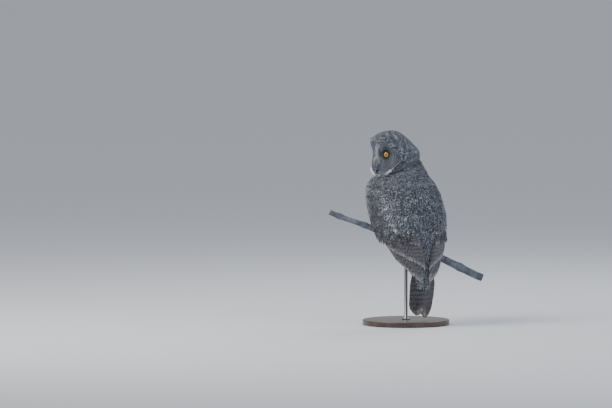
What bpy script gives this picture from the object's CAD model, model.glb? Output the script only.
"""The finish of a great grey owl on a cut branch, held by a plain display stand.

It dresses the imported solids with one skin, feathers in tracts, eyes, bill, claws, bark and a
polished stand, in metres and +Z up. The bird faces -Y, its left is +X, and its head is turned to
its left. Heights are measured from the point between the feet, on the branch's axis, and angles
about the body from straight ahead towards the bird's left.
"""

import logging
import math
from dataclasses import dataclass
from enum import Enum
from functools import partial
from typing import Callable, Optional

import bmesh
import bpy
import numpy as np
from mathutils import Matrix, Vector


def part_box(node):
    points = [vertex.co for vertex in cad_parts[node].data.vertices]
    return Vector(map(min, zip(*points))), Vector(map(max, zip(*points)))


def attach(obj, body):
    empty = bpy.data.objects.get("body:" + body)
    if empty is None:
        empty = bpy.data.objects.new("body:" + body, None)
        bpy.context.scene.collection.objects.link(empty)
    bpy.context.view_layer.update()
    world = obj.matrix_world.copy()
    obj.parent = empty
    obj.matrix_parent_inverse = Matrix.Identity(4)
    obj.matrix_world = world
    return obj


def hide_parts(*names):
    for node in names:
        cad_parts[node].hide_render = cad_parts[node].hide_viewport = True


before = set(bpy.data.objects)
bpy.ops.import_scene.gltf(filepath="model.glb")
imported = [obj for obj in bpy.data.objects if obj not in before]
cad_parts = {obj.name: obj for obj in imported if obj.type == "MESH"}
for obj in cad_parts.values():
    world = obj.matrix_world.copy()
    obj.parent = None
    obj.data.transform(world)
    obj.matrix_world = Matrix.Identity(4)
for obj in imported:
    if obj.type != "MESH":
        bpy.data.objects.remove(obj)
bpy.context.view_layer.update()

LOG = logging.getLogger("owl")
Array = np.ndarray
Place = Callable[[Array, Array], Array]
Adder = Callable[..., Optional[bpy.types.NodeSocket]]
MM = 0.001

# The stand's middle, and the height of the branch's axis between the feet
BASE_LOW, BASE_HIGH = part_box("stand_base")
STAND_X = (BASE_LOW[0] + BASE_HIGH[0]) / 2
STAND_Y = (BASE_LOW[1] + BASE_HIGH[1]) / 2
PERCH_Z = 0.275
SHIFT = np.array([STAND_X, STAND_Y, 0.0])


class Side(Enum):
    """The bird's two sides, as the sign of x."""

    LEFT = 1
    RIGHT = -1

    @property
    def word(self) -> str:
        """The side's name as the nodes carry it."""
        return self.name.lower()


class Outline(Enum):
    """How a feather's half width runs from its root to its tip: shares of length, of width."""

    ROUNDED = ((0.0, 0.26, 0.56, 0.80, 0.93), (0.40, 0.88, 1.00, 0.84, 0.52))
    POINTED = ((0.0, 0.30, 0.60, 0.85), (0.55, 1.00, 0.80, 0.38))
    CLUMP = ((0.0, 0.45, 0.80), (0.45, 1.00, 0.72))
    STRAP = ((0.0, 0.20, 0.50, 0.80, 0.92, 0.98), (0.50, 0.90, 1.00, 0.96, 0.74, 0.36))


def linear(code: str) -> tuple[float, float, float, float]:
    """Turns an sRGB hex colour into linear values.

    Args:
        code: Six hex digits after a hash.

    Returns:
        Red, green, blue and a full alpha.
    """
    channels = [int(code[k:k + 2], 16) / 255 for k in (1, 3, 5)]
    values = [c / 12.92 if c <= 0.04045 else ((c + 0.055) / 1.055) ** 2.4 for c in channels]
    return (values[0], values[1], values[2], 1.0)


def tone(code: str) -> Array:
    """A hex colour as three linear values in an array."""
    return np.array(linear(code)[:3])


def smooth(value: Array | float, low: float, high: float) -> Array:
    """A smooth step that is 0 below low and 1 above high."""
    t = np.clip((np.asarray(value, float) - low) / (high - low), 0, 1)
    return t * t * (3 - 2 * t)


def between(pair: tuple[float, ...], share: Array | float) -> Array:
    """The value at a share of the way from a pair's first to its second."""
    return pair[0] + (pair[1] - pair[0]) * share


def blend(base: Array | str, colour: str, share: Array) -> Array:
    """Colours, one or one a row, drawn towards another by a share a row."""
    base = tone(base) if isinstance(base, str) else base
    return base * (1 - share[:, None]) + tone(colour) * share[:, None]


def strengths(dice: np.random.Generator, base: tuple[float, ...], spread: float,
              count: int) -> Array:
    """Strengths of bars, streak and edge that differ a little from feather to feather."""
    return np.clip(np.array(base) * dice.normal(1, spread, (count, 3)), 0, 1)


def walked(points: Array) -> Array:
    """Distances along a line of points from its first."""
    return np.append(0, np.cumsum(np.linalg.norm(np.diff(points, axis=0), axis=1)))


def circle(count: int) -> Array:
    """Angles all the way round, evenly spaced."""
    return np.linspace(0, 2 * math.pi, count, endpoint=False)


def unit(vectors: Array) -> Array:
    """Vectors scaled to length one."""
    return vectors / np.maximum(np.linalg.norm(vectors, axis=-1, keepdims=True), 1e-12)


def clouds(points: Array, size: float, seed: int) -> Array:
    """Smooth random light and dark over a surface, about -1 to 1.

    Args:
        points: Places, three numbers each.
        size: Width of a light or dark patch in metres.
        seed: Seed of the pattern.

    Returns:
        One number a place.
    """
    dice = np.random.default_rng(seed)
    waves = unit(dice.normal(size=(9, 3))) * math.pi / size * dice.uniform(0.7, 1.4, (9, 1))
    return np.sin(points @ waves.T + dice.uniform(0, 6.28, 9)).sum(axis=1) / 3


def spline(table: Array, column: int, at: Array | float) -> Array:
    """Reads a smooth monotone curve through a table's column.

    Args:
        table: Rows that start with the height.
        column: The column to read.
        at: Heights, held within the table's own.

    Returns:
        The column's value at each height.
    """
    x, y = table[:, 0], table[:, column]
    at = np.clip(np.asarray(at, float), x[0], x[-1])
    step = np.diff(y) / np.diff(x)
    product = step[:-1] * step[1:]
    total = np.where(product > 0, step[:-1] + step[1:], 1.0)
    inner = np.where(product > 0, 2 * product / total, 0.0)
    slope = np.concatenate([step[:1], inner, step[-1:]])
    k = np.clip(np.searchsorted(x, at, side="right") - 1, 0, len(x) - 2)
    width = x[k + 1] - x[k]
    t = (at - x[k]) / width
    rest = 1 - t
    return (rest**2 * ((1 + 2 * t) * y[k] + t * width * slope[k])
            + t**2 * ((3 - 2 * t) * y[k + 1] - rest * width * slope[k + 1]))


@dataclass(frozen=True)
class Trunk:
    """The body's outer form, from the rump to the neck, and the closed wings' face over it.

    Each section gives height, centre y, half width, front y, back y and centre x.
    """

    sections: tuple[tuple[float, ...], ...] = (
        (-0.135, 0.104, 0.026, 0.098, 0.109, 0.0),
        (-0.121, 0.101, 0.032, 0.093, 0.110, 0.0),
        (-0.093, 0.094, 0.042, 0.081, 0.112, 0.0),
        (-0.069, 0.083, 0.052, 0.068, 0.115, 0.0),
        (-0.045, 0.064, 0.063, 0.054, 0.119, 0.0),
        (-0.017, 0.055, 0.076, 0.047, 0.122, 0.0),
        (0.007, 0.046, 0.090, 0.039, 0.124, 0.0),
        (0.035, 0.027, 0.112, 0.020, 0.127, 0.0),
        (0.050, 0.018, 0.121, -0.004, 0.128, 0.0),
        (0.069, 0.015, 0.130, -0.056, 0.126, 0.0),
        (0.104, 0.008, 0.135, -0.104, 0.120, 0.0),
        (0.138, -0.006, 0.133, -0.122, 0.108, 0.0),
        (0.173, -0.018, 0.130, -0.131, 0.092, 0.0),
        (0.207, -0.031, 0.119, -0.131, 0.071, 0.0),
        (0.232, -0.042, 0.098, -0.127, 0.052, -0.005),
        (0.259, -0.048, 0.060, -0.108, 0.031, -0.028),
        (0.285, -0.056, 0.046, -0.098, 0.010, -0.030),
        (0.300, -0.060, 0.034, -0.090, -0.014, -0.030),
    )
    cover: tuple[tuple[float, float, float], ...] = (
        (-0.135, 0.062, 0.121),
        (-0.121, 0.068, 0.124),
        (-0.093, 0.077, 0.127),
        (-0.069, 0.088, 0.130),
        (-0.045, 0.102, 0.132),
        (-0.017, 0.114, 0.132),
        (0.007, 0.123, 0.132),
        (0.035, 0.129, 0.132),
        (0.069, 0.131, 0.130),
        (0.104, 0.135, 0.123),
        (0.138, 0.133, 0.111),
        (0.173, 0.130, 0.095),
        (0.207, 0.120, 0.074),
        (0.232, 0.106, 0.055),
    )
    roundness: float = 2.15

    def centre(self, z: Array) -> tuple[Array, Array]:
        """The x and y of the body's centre line at heights."""
        table = np.array(self.sections)
        return spline(table, 5, z), spline(table, 1, z)

    def section(self, angle: Array, half: Array, front: Array, back: Array) -> Array:
        """Distance from a section's centre to its outline, at an angle from straight ahead."""
        ahead = np.cos(angle)
        depth = np.where(ahead > 0, front, back)
        side = np.abs(np.sin(angle)) / half
        along = np.abs(ahead) / depth
        return (side**self.roundness + along**self.roundness) ** (-1 / self.roundness)

    def body(self, z: Array, angle: Array) -> Array:
        """Radius of the body's coat about its centre line, as if the wings were away."""
        table = np.array(self.sections)
        middle = spline(table, 1, z)
        return self.section(angle, spline(table, 2, z), middle - spline(table, 3, z),
                            spline(table, 4, z) - middle)

    def closed_wing(self, z: Array, angle: Array) -> Array:
        """Radius of the closed wings' outer face."""
        table = np.array(self.cover)
        back = spline(table, 2, z) - self.centre(z)[1]
        return self.section(angle, spline(table, 1, z), back, back)

    def place(self, z: Array, angle: Array, radius: Array) -> Array:
        """Points at heights, angles from straight ahead and radii."""
        z, angle, radius = np.broadcast_arrays(z, angle, radius)
        middle_x, middle_y = self.centre(z)
        x = middle_x + radius * np.sin(angle)
        y = middle_y - radius * np.cos(angle)
        return np.stack([x, y, PERCH_Z + z], axis=-1) + SHIFT

    def unwrap(self, z: Array, angle: Array) -> Array:
        """Places on the bake map for heights and angles, two numbers each."""
        return np.stack([(angle / (2 * math.pi)) % 1.0, 0.08 + (z + 0.14) * 1.8], axis=1)

    def whole(self, z: Array, angle: Array) -> Array:
        """Radius of the coat over body and closed wings together."""
        turned = np.abs((np.degrees(angle) + 180) % 360 - 180)
        wing = smooth(turned, 62, 84) * smooth(z, 0.030, 0.068) * (1 - smooth(z, 0.195, 0.23))
        body = self.body(z, angle)
        return body + np.maximum(self.closed_wing(z, angle) - body, 0.0) * wing

    def wing_face(self, z: Array, angle: Array) -> Array:
        """Radius of the closed wings' outer face, kept outside the body."""
        return np.maximum(self.closed_wing(z, angle), self.body(z, angle) + 0.0006)


@dataclass(frozen=True)
class HeadForm:
    """The head's outer form about its centre, in directions forward, left and up."""

    centre: tuple[float, float, float] = (0.0, -0.069, 0.309)
    turn: float = math.radians(83)
    front: float = 0.074
    rear: float = 0.087
    side: float = 0.088
    up: float = 0.084
    down: float = 0.080
    nape_slope: float = 0.15
    disc_centre: tuple[float, float] = (0.031, -0.004)
    disc_radius: float = 0.057
    disc_dish: float = 0.013
    rim_height: float = 0.0035
    brow_height: float = 0.012
    eye_place: tuple[float, float, float] = (0.0425, 0.0260, 0.003)
    eye_radius: float = 0.0125
    eye_outward: float = math.radians(40)

    def axes(self) -> Array:
        """The head's forward, left and up directions, one a row."""
        heading = math.radians(-90) + self.turn
        ahead = np.array([math.cos(heading), math.sin(heading), 0.0])
        return np.array([ahead, [-ahead[1], ahead[0], 0.0], [0.0, 0.0, 1.0]])

    def space(self, parts: Array) -> Array:
        """Points from their forward, left and up parts about the head's centre."""
        middle = np.array(self.centre) + SHIFT + np.array([0.0, 0.0, PERCH_Z])
        return middle + np.asarray(parts) @ self.axes()

    def parts(self, points: Array) -> Array:
        """Forward, left and up parts of points about the head's centre."""
        middle = np.array(self.centre) + SHIFT + np.array([0.0, 0.0, PERCH_Z])
        return (np.asarray(points) - middle) @ self.axes().T

    def share(self, left: Array, up: Array) -> Array:
        """0 in the middle of the nearer half of the facial disc, 1 on its rim."""
        near = np.hypot(np.abs(left) - self.disc_centre[0], up - self.disc_centre[1])
        return near / self.disc_radius

    def radius(self, way: Array) -> Array:
        """Distance from the head's centre to its coat, in unit directions.

        Args:
            way: Unit directions in the frame of the head.

        Returns:
            Metres, one a direction.
        """
        ahead, side, above = way[..., 0], way[..., 1], way[..., 2]
        long = np.where(ahead > 0, self.front, self.rear)
        tall = np.where(above > 0, self.up, self.down)
        power = 1.95 + 0.55 * smooth(ahead, -0.2, 0.8) + 0.4 * smooth(ahead, 0, 0.6)
        total = (np.abs(ahead) / long) ** power + (np.abs(side) / self.side) ** power
        radius = (total + (np.abs(above) / tall) ** power) ** (-1 / power)
        nape = smooth(-ahead, -0.15, 0.55) * smooth(above, 0.05, 0.6)
        radius = radius * (1 - self.nape_slope * nape)
        left, up = radius * side, radius * above
        share = self.share(left, up)
        face = smooth(ahead, 0.0, 0.3)
        dish = -self.disc_dish * np.clip(1 - share**2, 0, 1)
        rim = self.rim_height * np.exp(-(((share - 1.02) / 0.10) ** 2))
        eye_off = np.hypot(np.abs(left) - self.eye_place[1] - 0.013, up - self.eye_place[2])
        hollow = -0.009 * np.exp(-((eye_off / 0.020) ** 2))
        brow = self.brow_height * np.exp(-((left / 0.011) ** 2))
        brow = brow * smooth(up, -0.050, -0.025) * (1 - smooth(up, 0.025, 0.050))
        radius = radius + face * (dish + rim + hollow + brow)
        for side in (1, -1):
            look = np.array([math.cos(self.eye_outward), side * math.sin(self.eye_outward), 0])
            off = radius[..., None] * way - np.array(self.eye_place) * [1, side, 1]
            high = off @ look
            wide = np.sqrt(np.maximum(np.sum(off**2, axis=-1) - high**2, 0))
            over = high - 0.0080 - 0.72 * np.maximum(wide - 0.0092, 0)
            near = (1 - smooth(wide, 0.020, 0.042)) * smooth(way @ look, 0.3, 0.6)
            radius = radius - np.maximum(over, 0) * near / np.maximum(way @ look, 0.5)
        return radius

    def surface(self, way: Array, out: Array | float = 0.0) -> Array:
        """Points on the head's coat in directions, or as far outside it as out says."""
        way = unit(way)
        return self.space(way * (self.radius(way) + out)[..., None])

    def direction(self, polar: Array, azimuth: Array) -> Array:
        """Directions by the angle from the face's middle and the angle about it, from the left."""
        polar, azimuth = np.broadcast_arrays(polar, azimuth)
        return np.stack([np.cos(polar), np.sin(polar) * np.cos(azimuth),
                         np.sin(polar) * np.sin(azimuth)], axis=-1)

    def rim_polar(self, azimuth: Array) -> Array:
        """The angle from the face's middle at which the disc's rim lies."""
        polar = np.radians(np.linspace(20, 88, 160))[:, None]
        way = self.direction(polar, azimuth[None, :])
        radius = self.radius(way)
        beyond = self.share(radius * way[..., 1], radius * way[..., 2]) > 1.0
        return np.where(beyond.any(axis=0), polar[np.argmax(beyond, axis=0), 0], polar[-1, 0])

    def face_way(self, left: Array, up: Array) -> Array:
        """Directions of the face's points at places sideways and up, seen from the front."""
        left, up = np.broadcast_arrays(np.asarray(left, float), np.asarray(up, float))
        guess = np.stack([np.full(left.shape, 0.06), left, up], axis=-1)
        for _ in range(12):
            way = unit(guess)
            radius = self.radius(way)
            ahead = np.maximum(radius * way[..., 0], 0.004)
            guess = np.stack([0.5 * guess[..., 0] + 0.5 * ahead, left, up], axis=-1)
        return unit(guess)

    def eye(self, side: Side) -> tuple[Array, Array]:
        """An eyeball's middle and the way it looks."""
        ahead, left, up = self.eye_place
        middle = self.space(np.array([ahead, side.value * left, up]))
        look = np.array([math.cos(self.eye_outward), side.value * math.sin(self.eye_outward), 0])
        return middle, look @ self.axes()


TRUNK = Trunk()
HEAD = HeadForm()


@dataclass(frozen=True)
class Bough:
    """The cut branch: its axis climbs to the bird's left, with knots along it."""

    half: float = 0.300
    turn: float = math.radians(-20)
    climb: float = 0.433
    mid_radius: float = 0.011
    taper: float = 0.008
    knots: tuple[float, ...] = (-0.215, 0.165, 0.262)
    knot_height: float = 0.0022

    def axis(self, along: Array) -> Array:
        """Points of the axis at distances along it from between the feet."""
        along = np.asarray(along, float)
        way = (math.cos(self.turn), math.sin(self.turn))
        level = along / math.hypot(1, self.climb)
        sway = 0.006 * (1 - np.cos(along * 16)) * np.sign(along)
        x = level * way[0] - sway * way[1]
        y = level * way[1] + sway * way[0]
        z = PERCH_Z + self.climb * level + 0.004 * (1 - np.cos(along * 23))
        return np.stack([x, y, z], axis=-1) + SHIFT

    def radius(self, along: Array) -> Array:
        """The branch's radius along it, swollen at its knots."""
        swell = sum(np.exp(-(((along - at) / 0.011) ** 2)) for at in self.knots)
        return self.mid_radius - self.taper * along + self.knot_height * swell

    def frame(self, path: Array) -> tuple[Array, Array]:
        """Two directions square to the path at each of its points."""
        way = unit(np.gradient(path, axis=0))
        aside = unit(np.cross(way, [0.0, 0.0, 1.0]))
        return aside, np.cross(aside, way)


BOUGH = Bough()


MODES = {"Math": "operation", "VectorMath": "operation", "MapRange": "interpolation_type",
         "Mix": "data_type", "Attribute": "attribute_name", "UVMap": "uv_map"}
SOCKETS = {"Mix:RGBA": ((0, 6, 7), 2), "VectorMath:SCALE": ((0, 3), 0),
           "VectorMath:DISTANCE": ((0, 1), 1), "TexCoord": ((), "Object")}


def add_node(tree: bpy.types.NodeTree, kind: str, *inputs: object,
             out: int | str | None = None, **named: object) -> Optional[bpy.types.NodeSocket]:
    """Adds a node with its settings and links.

    Args:
        tree: The tree that takes the node.
        kind: The node's type, with its mode after a colon.
        inputs: Values or outputs for its first inputs in order; None leaves one as it is.
        out: The output to hand back, if it isn't the usual one.
        named: Inputs by name, with a capital, and settings, in small letters.

    Returns:
        The chosen output, if the node has any.
    """
    family, _, mode = kind.partition(":")
    node = tree.nodes.new(family if "Node" in family else "ShaderNode" + family)
    if mode:
        setattr(node, MODES[family], mode)
    places, usual = SOCKETS.get(kind, (range(len(inputs)), 0))
    given = dict(zip(places, inputs))
    for name, value in named.items():
        if name[0].islower():
            setattr(node, name, value)
        else:
            given[name] = value
    for name, value in given.items():
        if isinstance(value, bpy.types.NodeSocket):
            tree.links.new(value, node.inputs[name])
        elif value is not None:
            node.inputs[name].default_value = value
    return node.outputs[usual if out is None else out] if len(node.outputs) else None


def start(name: str, **values: object) -> tuple[bpy.types.Material, Adder]:
    """A new material, and what adds nodes to it.

    Args:
        name: The material's name.
        values: The shader's inputs by name, with low lines for spaces.

    Returns:
        The material, and add_node for its tree.
    """
    material = bpy.data.materials.new(name)
    material.use_nodes = True
    shader = material.node_tree.nodes["Principled BSDF"]
    for key, value in values.items():
        shader.inputs[key.replace("_", " ")].default_value = value
    return material, partial(add_node, material.node_tree)


def finished(material: bpy.types.Material, colour: bpy.types.NodeSocket,
             height: Optional[bpy.types.NodeSocket] = None, strength: float = 0.0,
             depth: float = 0.0) -> bpy.types.Material:
    """Gives a material its colour and its fine relief.

    Args:
        material: The material under way.
        colour: What feeds its colour.
        height: What feeds its relief, if it has any.
        strength: How much of the relief shows.
        depth: The relief's depth in millimetres.

    Returns:
        The material.
    """
    tree = material.node_tree
    shader = tree.nodes["Principled BSDF"]
    tree.links.new(colour, shader.inputs["Base Color"])
    if height:
        bump = add_node(tree, "Bump", Height=height, Strength=strength, Distance=depth * MM)
        tree.links.new(bump, shader.inputs["Normal"])
    return material


@dataclass(frozen=True)
class FeatherFinish:
    """Feather vanes: matt keratin barbs with dark bars, a dark shaft streak and pale edges."""

    name: str
    bar_mm: float = 6.0
    bow: float = 0.35
    bar_shade: float = 0.26
    stray: float = 1.0
    streak: str = "#1e1e23"
    streak_half: float = 0.30
    edge: str = "#c9cfda"
    edge_from: float = 0.55
    rim: float = 1.0
    mottle_mm: float = 2.2
    mottle: float = 0.55
    roughness: float = 0.82

    def material(self) -> bpy.types.Material:
        """Builds the material from the piece's Vane map and its attributes.

        Returns:
            The feather material. Barbs give it a dull, faintly glowing face.
        """
        made, add = start(self.name, Roughness=self.roughness, Sheen_Weight=0.12)
        ground = add("Attribute:Ground", out="Color")
        marks = add("SeparateXYZ", add("Attribute:Marks", out="Vector"))
        vane = add("SeparateXYZ", add("UVMap:Vane"))
        reach = add("Attribute:Reach", out="Fac")
        seed = add("Attribute:Seed", out="Fac")
        spot = add("TexCoord")
        fine = add("TexNoise", Vector=spot, Scale=1 / (self.mottle_mm * MM), Detail=2.0,
                   Roughness=0.6)
        aside = add("Math:MULTIPLY_ADD", vane, 2.0, -1.0)
        across = add("Math:ABSOLUTE", aside)
        along = vane.node.outputs["Y"]

        turn = add("Math:MULTIPLY", reach, 2 * math.pi / (self.bar_mm * MM))
        bowed = add("Math:MULTIPLY_ADD", across, -6.0 * self.bow, turn)
        shifted = add("Math:MULTIPLY_ADD", seed, 6.28 * self.stray, bowed)
        rough = add("Math:MULTIPLY_ADD", fine, 2.6, shifted)
        wave = add("Math:SINE", rough)
        bars = add("MapRange:SMOOTHSTEP", wave, -0.25, 0.45)
        barred = add("Math:MULTIPLY", bars, marks)
        shade = self.bar_shade
        dark = add("Mix:RGBA", 1.0, ground, (shade, shade, shade * 1.06, 1.0),
                   blend_type="MULTIPLY")
        coat = add("Mix:RGBA", barred, ground, dark)

        narrow = add("MapRange:SMOOTHSTEP", across, self.streak_half * 0.4,
                     self.streak_half * 1.3, 1.0, 0.0)
        ended = add("MapRange:SMOOTHSTEP", along, 0.84, 0.97, 1.0, 0.0)
        shaft = add("Math:MULTIPLY", narrow, ended)
        streak = add("Math:MULTIPLY", shaft, marks.node.outputs["Y"])
        coat = add("Mix:RGBA", streak, coat, linear(self.streak))

        rim = add("MapRange:SMOOTHSTEP", across, self.edge_from, 0.96, 0.0, self.rim)
        tip = add("MapRange:SMOOTHSTEP", along, 0.8, 0.97)
        border = add("Math:MAXIMUM", rim, tip)
        broken = add("MapRange", fine, 0.36, 0.58)
        pale = add("Math:MULTIPLY", border, broken)
        edged = add("Math:MULTIPLY", pale, marks.node.outputs["Z"])
        coat = add("Mix:RGBA", edged, coat, linear(self.edge))

        grain = add("MapRange", fine, 0.3, 0.7, 1 - self.mottle, 1 + 0.6 * self.mottle)
        buried = add("MapRange:SMOOTHSTEP", along, 0.0, 0.5, 0.5, 1.0)
        light = add("Math:MULTIPLY", grain, buried)
        final = add("VectorMath:SCALE", coat, light)

        barb = add("Math:MULTIPLY", reach, 2 * math.pi / (1.1 * MM))
        slant = add("Math:MULTIPLY_ADD", across, -9.0, barb)
        ridge = add("Math:SINE", slant)
        return finished(made, final, ridge, 0.35, 0.3)


@dataclass(frozen=True)
class DiscFinish:
    """The facial disc's thin open feathers, with dark and pale rings about each eye."""

    name: str = "disc_feather"
    ring_mm: float = 5.8
    dark: str = "#2f343e"

    def material(self) -> bpy.types.Material:
        """Builds the material: rings by the distance from the nearer eye, on Object coordinates.

        Returns:
            The disc's material. Loose barbs make it duller than the body's feathers.
        """
        made, add = start(self.name, Roughness=0.88, Sheen_Weight=0.15)
        spot = add("TexCoord")
        reaches = []
        for side in Side:
            middle, look = HEAD.eye(side)
            rim = middle + look * HEAD.eye_radius
            reaches.append(add("VectorMath:DISTANCE", spot, tuple(rim)))
        near = add("Math:MINIMUM", *reaches)
        fine = add("TexNoise", Vector=spot, Scale=1 / (7.0 * MM), Detail=3.0)
        turn = add("Math:MULTIPLY", near, 2 * math.pi / (self.ring_mm * MM))
        rough = add("Math:MULTIPLY_ADD", fine, 6.0, turn)
        wave = add("Math:SINE", rough)
        rings = add("MapRange:SMOOTHSTEP", wave, -0.35, 0.35)
        ground = add("Attribute:Ground", out="Color")
        marks = add("SeparateXYZ", add("Attribute:Marks", out="Vector"))
        depth = add("Math:MULTIPLY", rings, marks)
        coat = add("Mix:RGBA", depth, ground, linear(self.dark))
        grain = add("MapRange", fine, 0.3, 0.7, 0.75, 1.25)
        final = add("VectorMath:SCALE", coat, grain)
        return finished(made, final)


@dataclass(frozen=True)
class SkinFinish:
    """Bare skin and down under the coat, in the coat's own colours but darker."""

    name: str = "downy_skin"
    roughness: float = 0.9

    def material(self) -> bpy.types.Material:
        """Builds the material from the skin's Ground attribute, mottled like the coat.

        Returns:
            The skin's material. It reads as soft shade between feathers.
        """
        made, add = start(self.name, Roughness=self.roughness, Sheen_Weight=0.1)
        spot = add("TexCoord")
        ground = add("Attribute:Ground", out="Color")
        fine = add("TexNoise", Vector=spot, Scale=1 / (3.0 * MM), Detail=3.0)
        grain = add("MapRange", fine, 0.3, 0.7, 0.28, 0.62)
        final = add("VectorMath:SCALE", ground, grain)
        return finished(made, final, fine, 0.5, 0.6)


def mesh_object(name: str, points: Array, triangles: Array) -> bpy.types.Object:
    """A mesh object from arrays of points and triangles.

    Args:
        name: The object's name.
        points: One point a row.
        triangles: Three point numbers a row.

    Returns:
        The object, linked to the scene, with smooth faces.
    """
    mesh = bpy.data.meshes.new(name)
    mesh.vertices.add(len(points))
    mesh.vertices.foreach_set("co", np.asarray(points, np.float32).ravel())
    mesh.loops.add(triangles.size)
    mesh.loops.foreach_set("vertex_index", np.asarray(triangles, np.int32).ravel())
    mesh.polygons.add(len(triangles))
    mesh.polygons.foreach_set("loop_start", np.arange(0, triangles.size, 3, dtype=np.int32))
    mesh.polygons.foreach_set("use_smooth", np.ones(len(triangles), bool))
    mesh.update(calc_edges=True)
    obj = bpy.data.objects.new(name, mesh)
    bpy.context.scene.collection.objects.link(obj)
    return obj


def write(obj: bpy.types.Object, name: str, values: Array) -> None:
    """Writes values on a mesh: one or three numbers a point, or a map's two a face corner.

    Args:
        obj: The object.
        name: The name of the attribute or map.
        values: The values, in the order of points or of corners.
    """
    numbers = np.asarray(values, np.float32)
    if numbers.ndim == 2 and numbers.shape[1] == 2:
        obj.data.uv_layers.new(name=name).data.foreach_set("uv", numbers.ravel())
        return
    kind, field = ("FLOAT", "value") if numbers.ndim == 1 else ("FLOAT_VECTOR", "vector")
    layer = obj.data.attributes.new(name, kind, "POINT")
    layer.data.foreach_set(field, numbers.ravel())


@dataclass
class Tract:
    """Feathers that grow alike over one stretch of skin: their places, sizes and colours.

    A soft feather is split into clumps of barbs that fan out from its root and share its
    pattern; a firm one is a single vane.
    """

    place: Place
    lie: Array
    length: Array
    half: Array | float
    unwrap: Array
    ground: Array
    marks: Array
    outline: Outline = Outline.ROUNDED
    sunk: Array | float = -0.0030
    rise: Array | float = 0.0020
    dome: float = 0.0010
    thick: float = 0.0003
    splay: float = 0.0006
    tilt: float = 0.0
    clumps: int = 1
    fray: float = 0.10
    seed: int = 1

    def frames(self) -> tuple[Array, Array]:
        """Steps in the surface's own two coordinates for a metre along and across each feather.

        Returns:
            The steps along and the steps across, two numbers a feather each.
        """
        zero, step = np.zeros((len(self.length), 1)), 1e-4
        root = self.place(zero, zero)[:, 0]
        by_u = (self.place(zero + step, zero)[:, 0] - root) / step
        by_v = (self.place(zero, zero + step)[:, 0] - root) / step
        normal = unit(np.cross(by_u, by_v))
        lie = unit(self.lie - normal * np.sum(self.lie * normal, axis=1, keepdims=True))
        side = np.cross(lie, normal)
        uu, vv = np.sum(by_u**2, axis=1), np.sum(by_v**2, axis=1)
        uv = np.sum(by_u * by_v, axis=1)
        size = uu * vv - uv**2
        steps = []
        for way in (lie, side):
            a, b = np.sum(way * by_u, axis=1), np.sum(way * by_v, axis=1)
            steps.append(np.stack([(a * vv - b * uv) / size, (b * uu - a * uv) / size], axis=1))
        return steps[0], steps[1]

    def faces(self, rows: int) -> Array:
        """Triangles of one vane: domed above, flat below, closed at its root and its tip.

        Args:
            rows: Rows across the vane, from root to tip.

        Returns:
            Three corner numbers a row.
        """
        faces = []
        for k in range(rows - 1):
            l0, m0, r0 = 3 * k, 3 * k + 1, 3 * k + 2
            l1, m1, r1 = l0 + 3, m0 + 3, r0 + 3
            faces += [(l0, m0, m1), (l0, m1, l1), (m0, r0, r1), (m0, r1, m1),
                      (l0, r1, r0), (l0, l1, r1)]
        last, tip = 3 * (rows - 1), 3 * rows
        faces += [(last, last + 1, tip), (last + 1, last + 2, tip), (last, tip, last + 2),
                  (0, 2, 1)]
        return np.array(faces)

    def grow(self) -> dict[str, Array]:
        """Builds every feather as thin closed vanes or clumps.

        Returns:
            Arrays of points, triangles and the values each point carries.
        """
        dice = np.random.default_rng(self.seed)
        count, parts = len(self.length), self.clumps
        shares, widths = (np.array(row) for row in self.outline.value)
        rows = len(shares)
        each = 3 * rows + 1
        along = np.append(np.repeat(shares, 3), 1.0)
        edge = np.append(np.tile([-1.0, 0.0, 1.0], rows), 0.0)
        profile = np.append(np.repeat(widths, 3), 0.0)
        middle = np.append(np.tile([0.0, 1.0, 0.0], rows), 0.0)

        fan = np.linspace(-1, 1, parts + 2)[1:-1] if parts > 1 else np.zeros(1)
        fan = np.repeat(fan[None], count, axis=0)
        if parts > 1:
            fan = fan + dice.normal(0, 0.5 / parts, (count, parts))
        stretch = 1 - 0.26 * fan**2
        if parts > 1:
            stretch = stretch + dice.normal(0, self.fray, (count, parts))
        own = 1.0 if parts == 1 else 1.55 / parts
        spread = 0.30 + 0.70 * smooth(along, 0.0, 0.55)
        reach = along * stretch[..., None]
        across = fan[..., None] * spread + own * edge * profile

        down, side = self.frames()
        far = (reach * self.length[:, None, None]).reshape(count, -1)
        half, sunk, rise = (np.broadcast_to(np.asarray(size, float), (count,))[:, None, None]
                            for size in (self.half, self.sunk, self.rise))
        wide = (across * half).reshape(count, -1)
        u = far * down[:, :1] + wide * side[:, :1]
        v = far * down[:, 1:] + wide * side[:, 1:]
        step = 1e-4
        base = self.place(u, v)
        normal = unit(np.cross(self.place(u + step, v) - base, self.place(u, v + step) - base))
        lift = sunk + (rise - sunk) * reach**1.15 + self.tilt * across
        lift = lift + dice.uniform(-1, 1, (count, parts, 1)) * self.splay * along
        lift = lift - self.dome * across**2 * (parts > 1)
        ridge = (self.dome * (1 - (along - 0.5) ** 2) * own + self.thick) * middle
        points = base + normal * (lift + ridge).reshape(count, -1)[..., None]

        triangles = self.faces(rows)[None] + (np.arange(count * parts) * each)[:, None, None]
        vane = np.stack([0.5 + 0.5 * np.clip(across, -1, 1), np.clip(reach, 0, 1)], axis=-1)
        if parts == 1:
            vane[..., 0] = 0.5 + 0.5 * edge
        vane = vane.reshape(count, -1, 2)
        patch = self.unwrap[:, None, :] + 0.003 * (vane - 0.5)
        share = each * parts
        return {
            "points": points.reshape(-1, 3),
            "triangles": triangles.reshape(-1, 3),
            "Vane": vane.reshape(-1, 2),
            "OFBake": patch.reshape(-1, 2),
            "Reach": far.ravel(),
            "Seed": np.repeat(dice.uniform(0, 1, count), share),
            "Ground": np.repeat(self.ground, share, axis=0),
            "Marks": np.repeat(self.marks, share, axis=0),
        }


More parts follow.
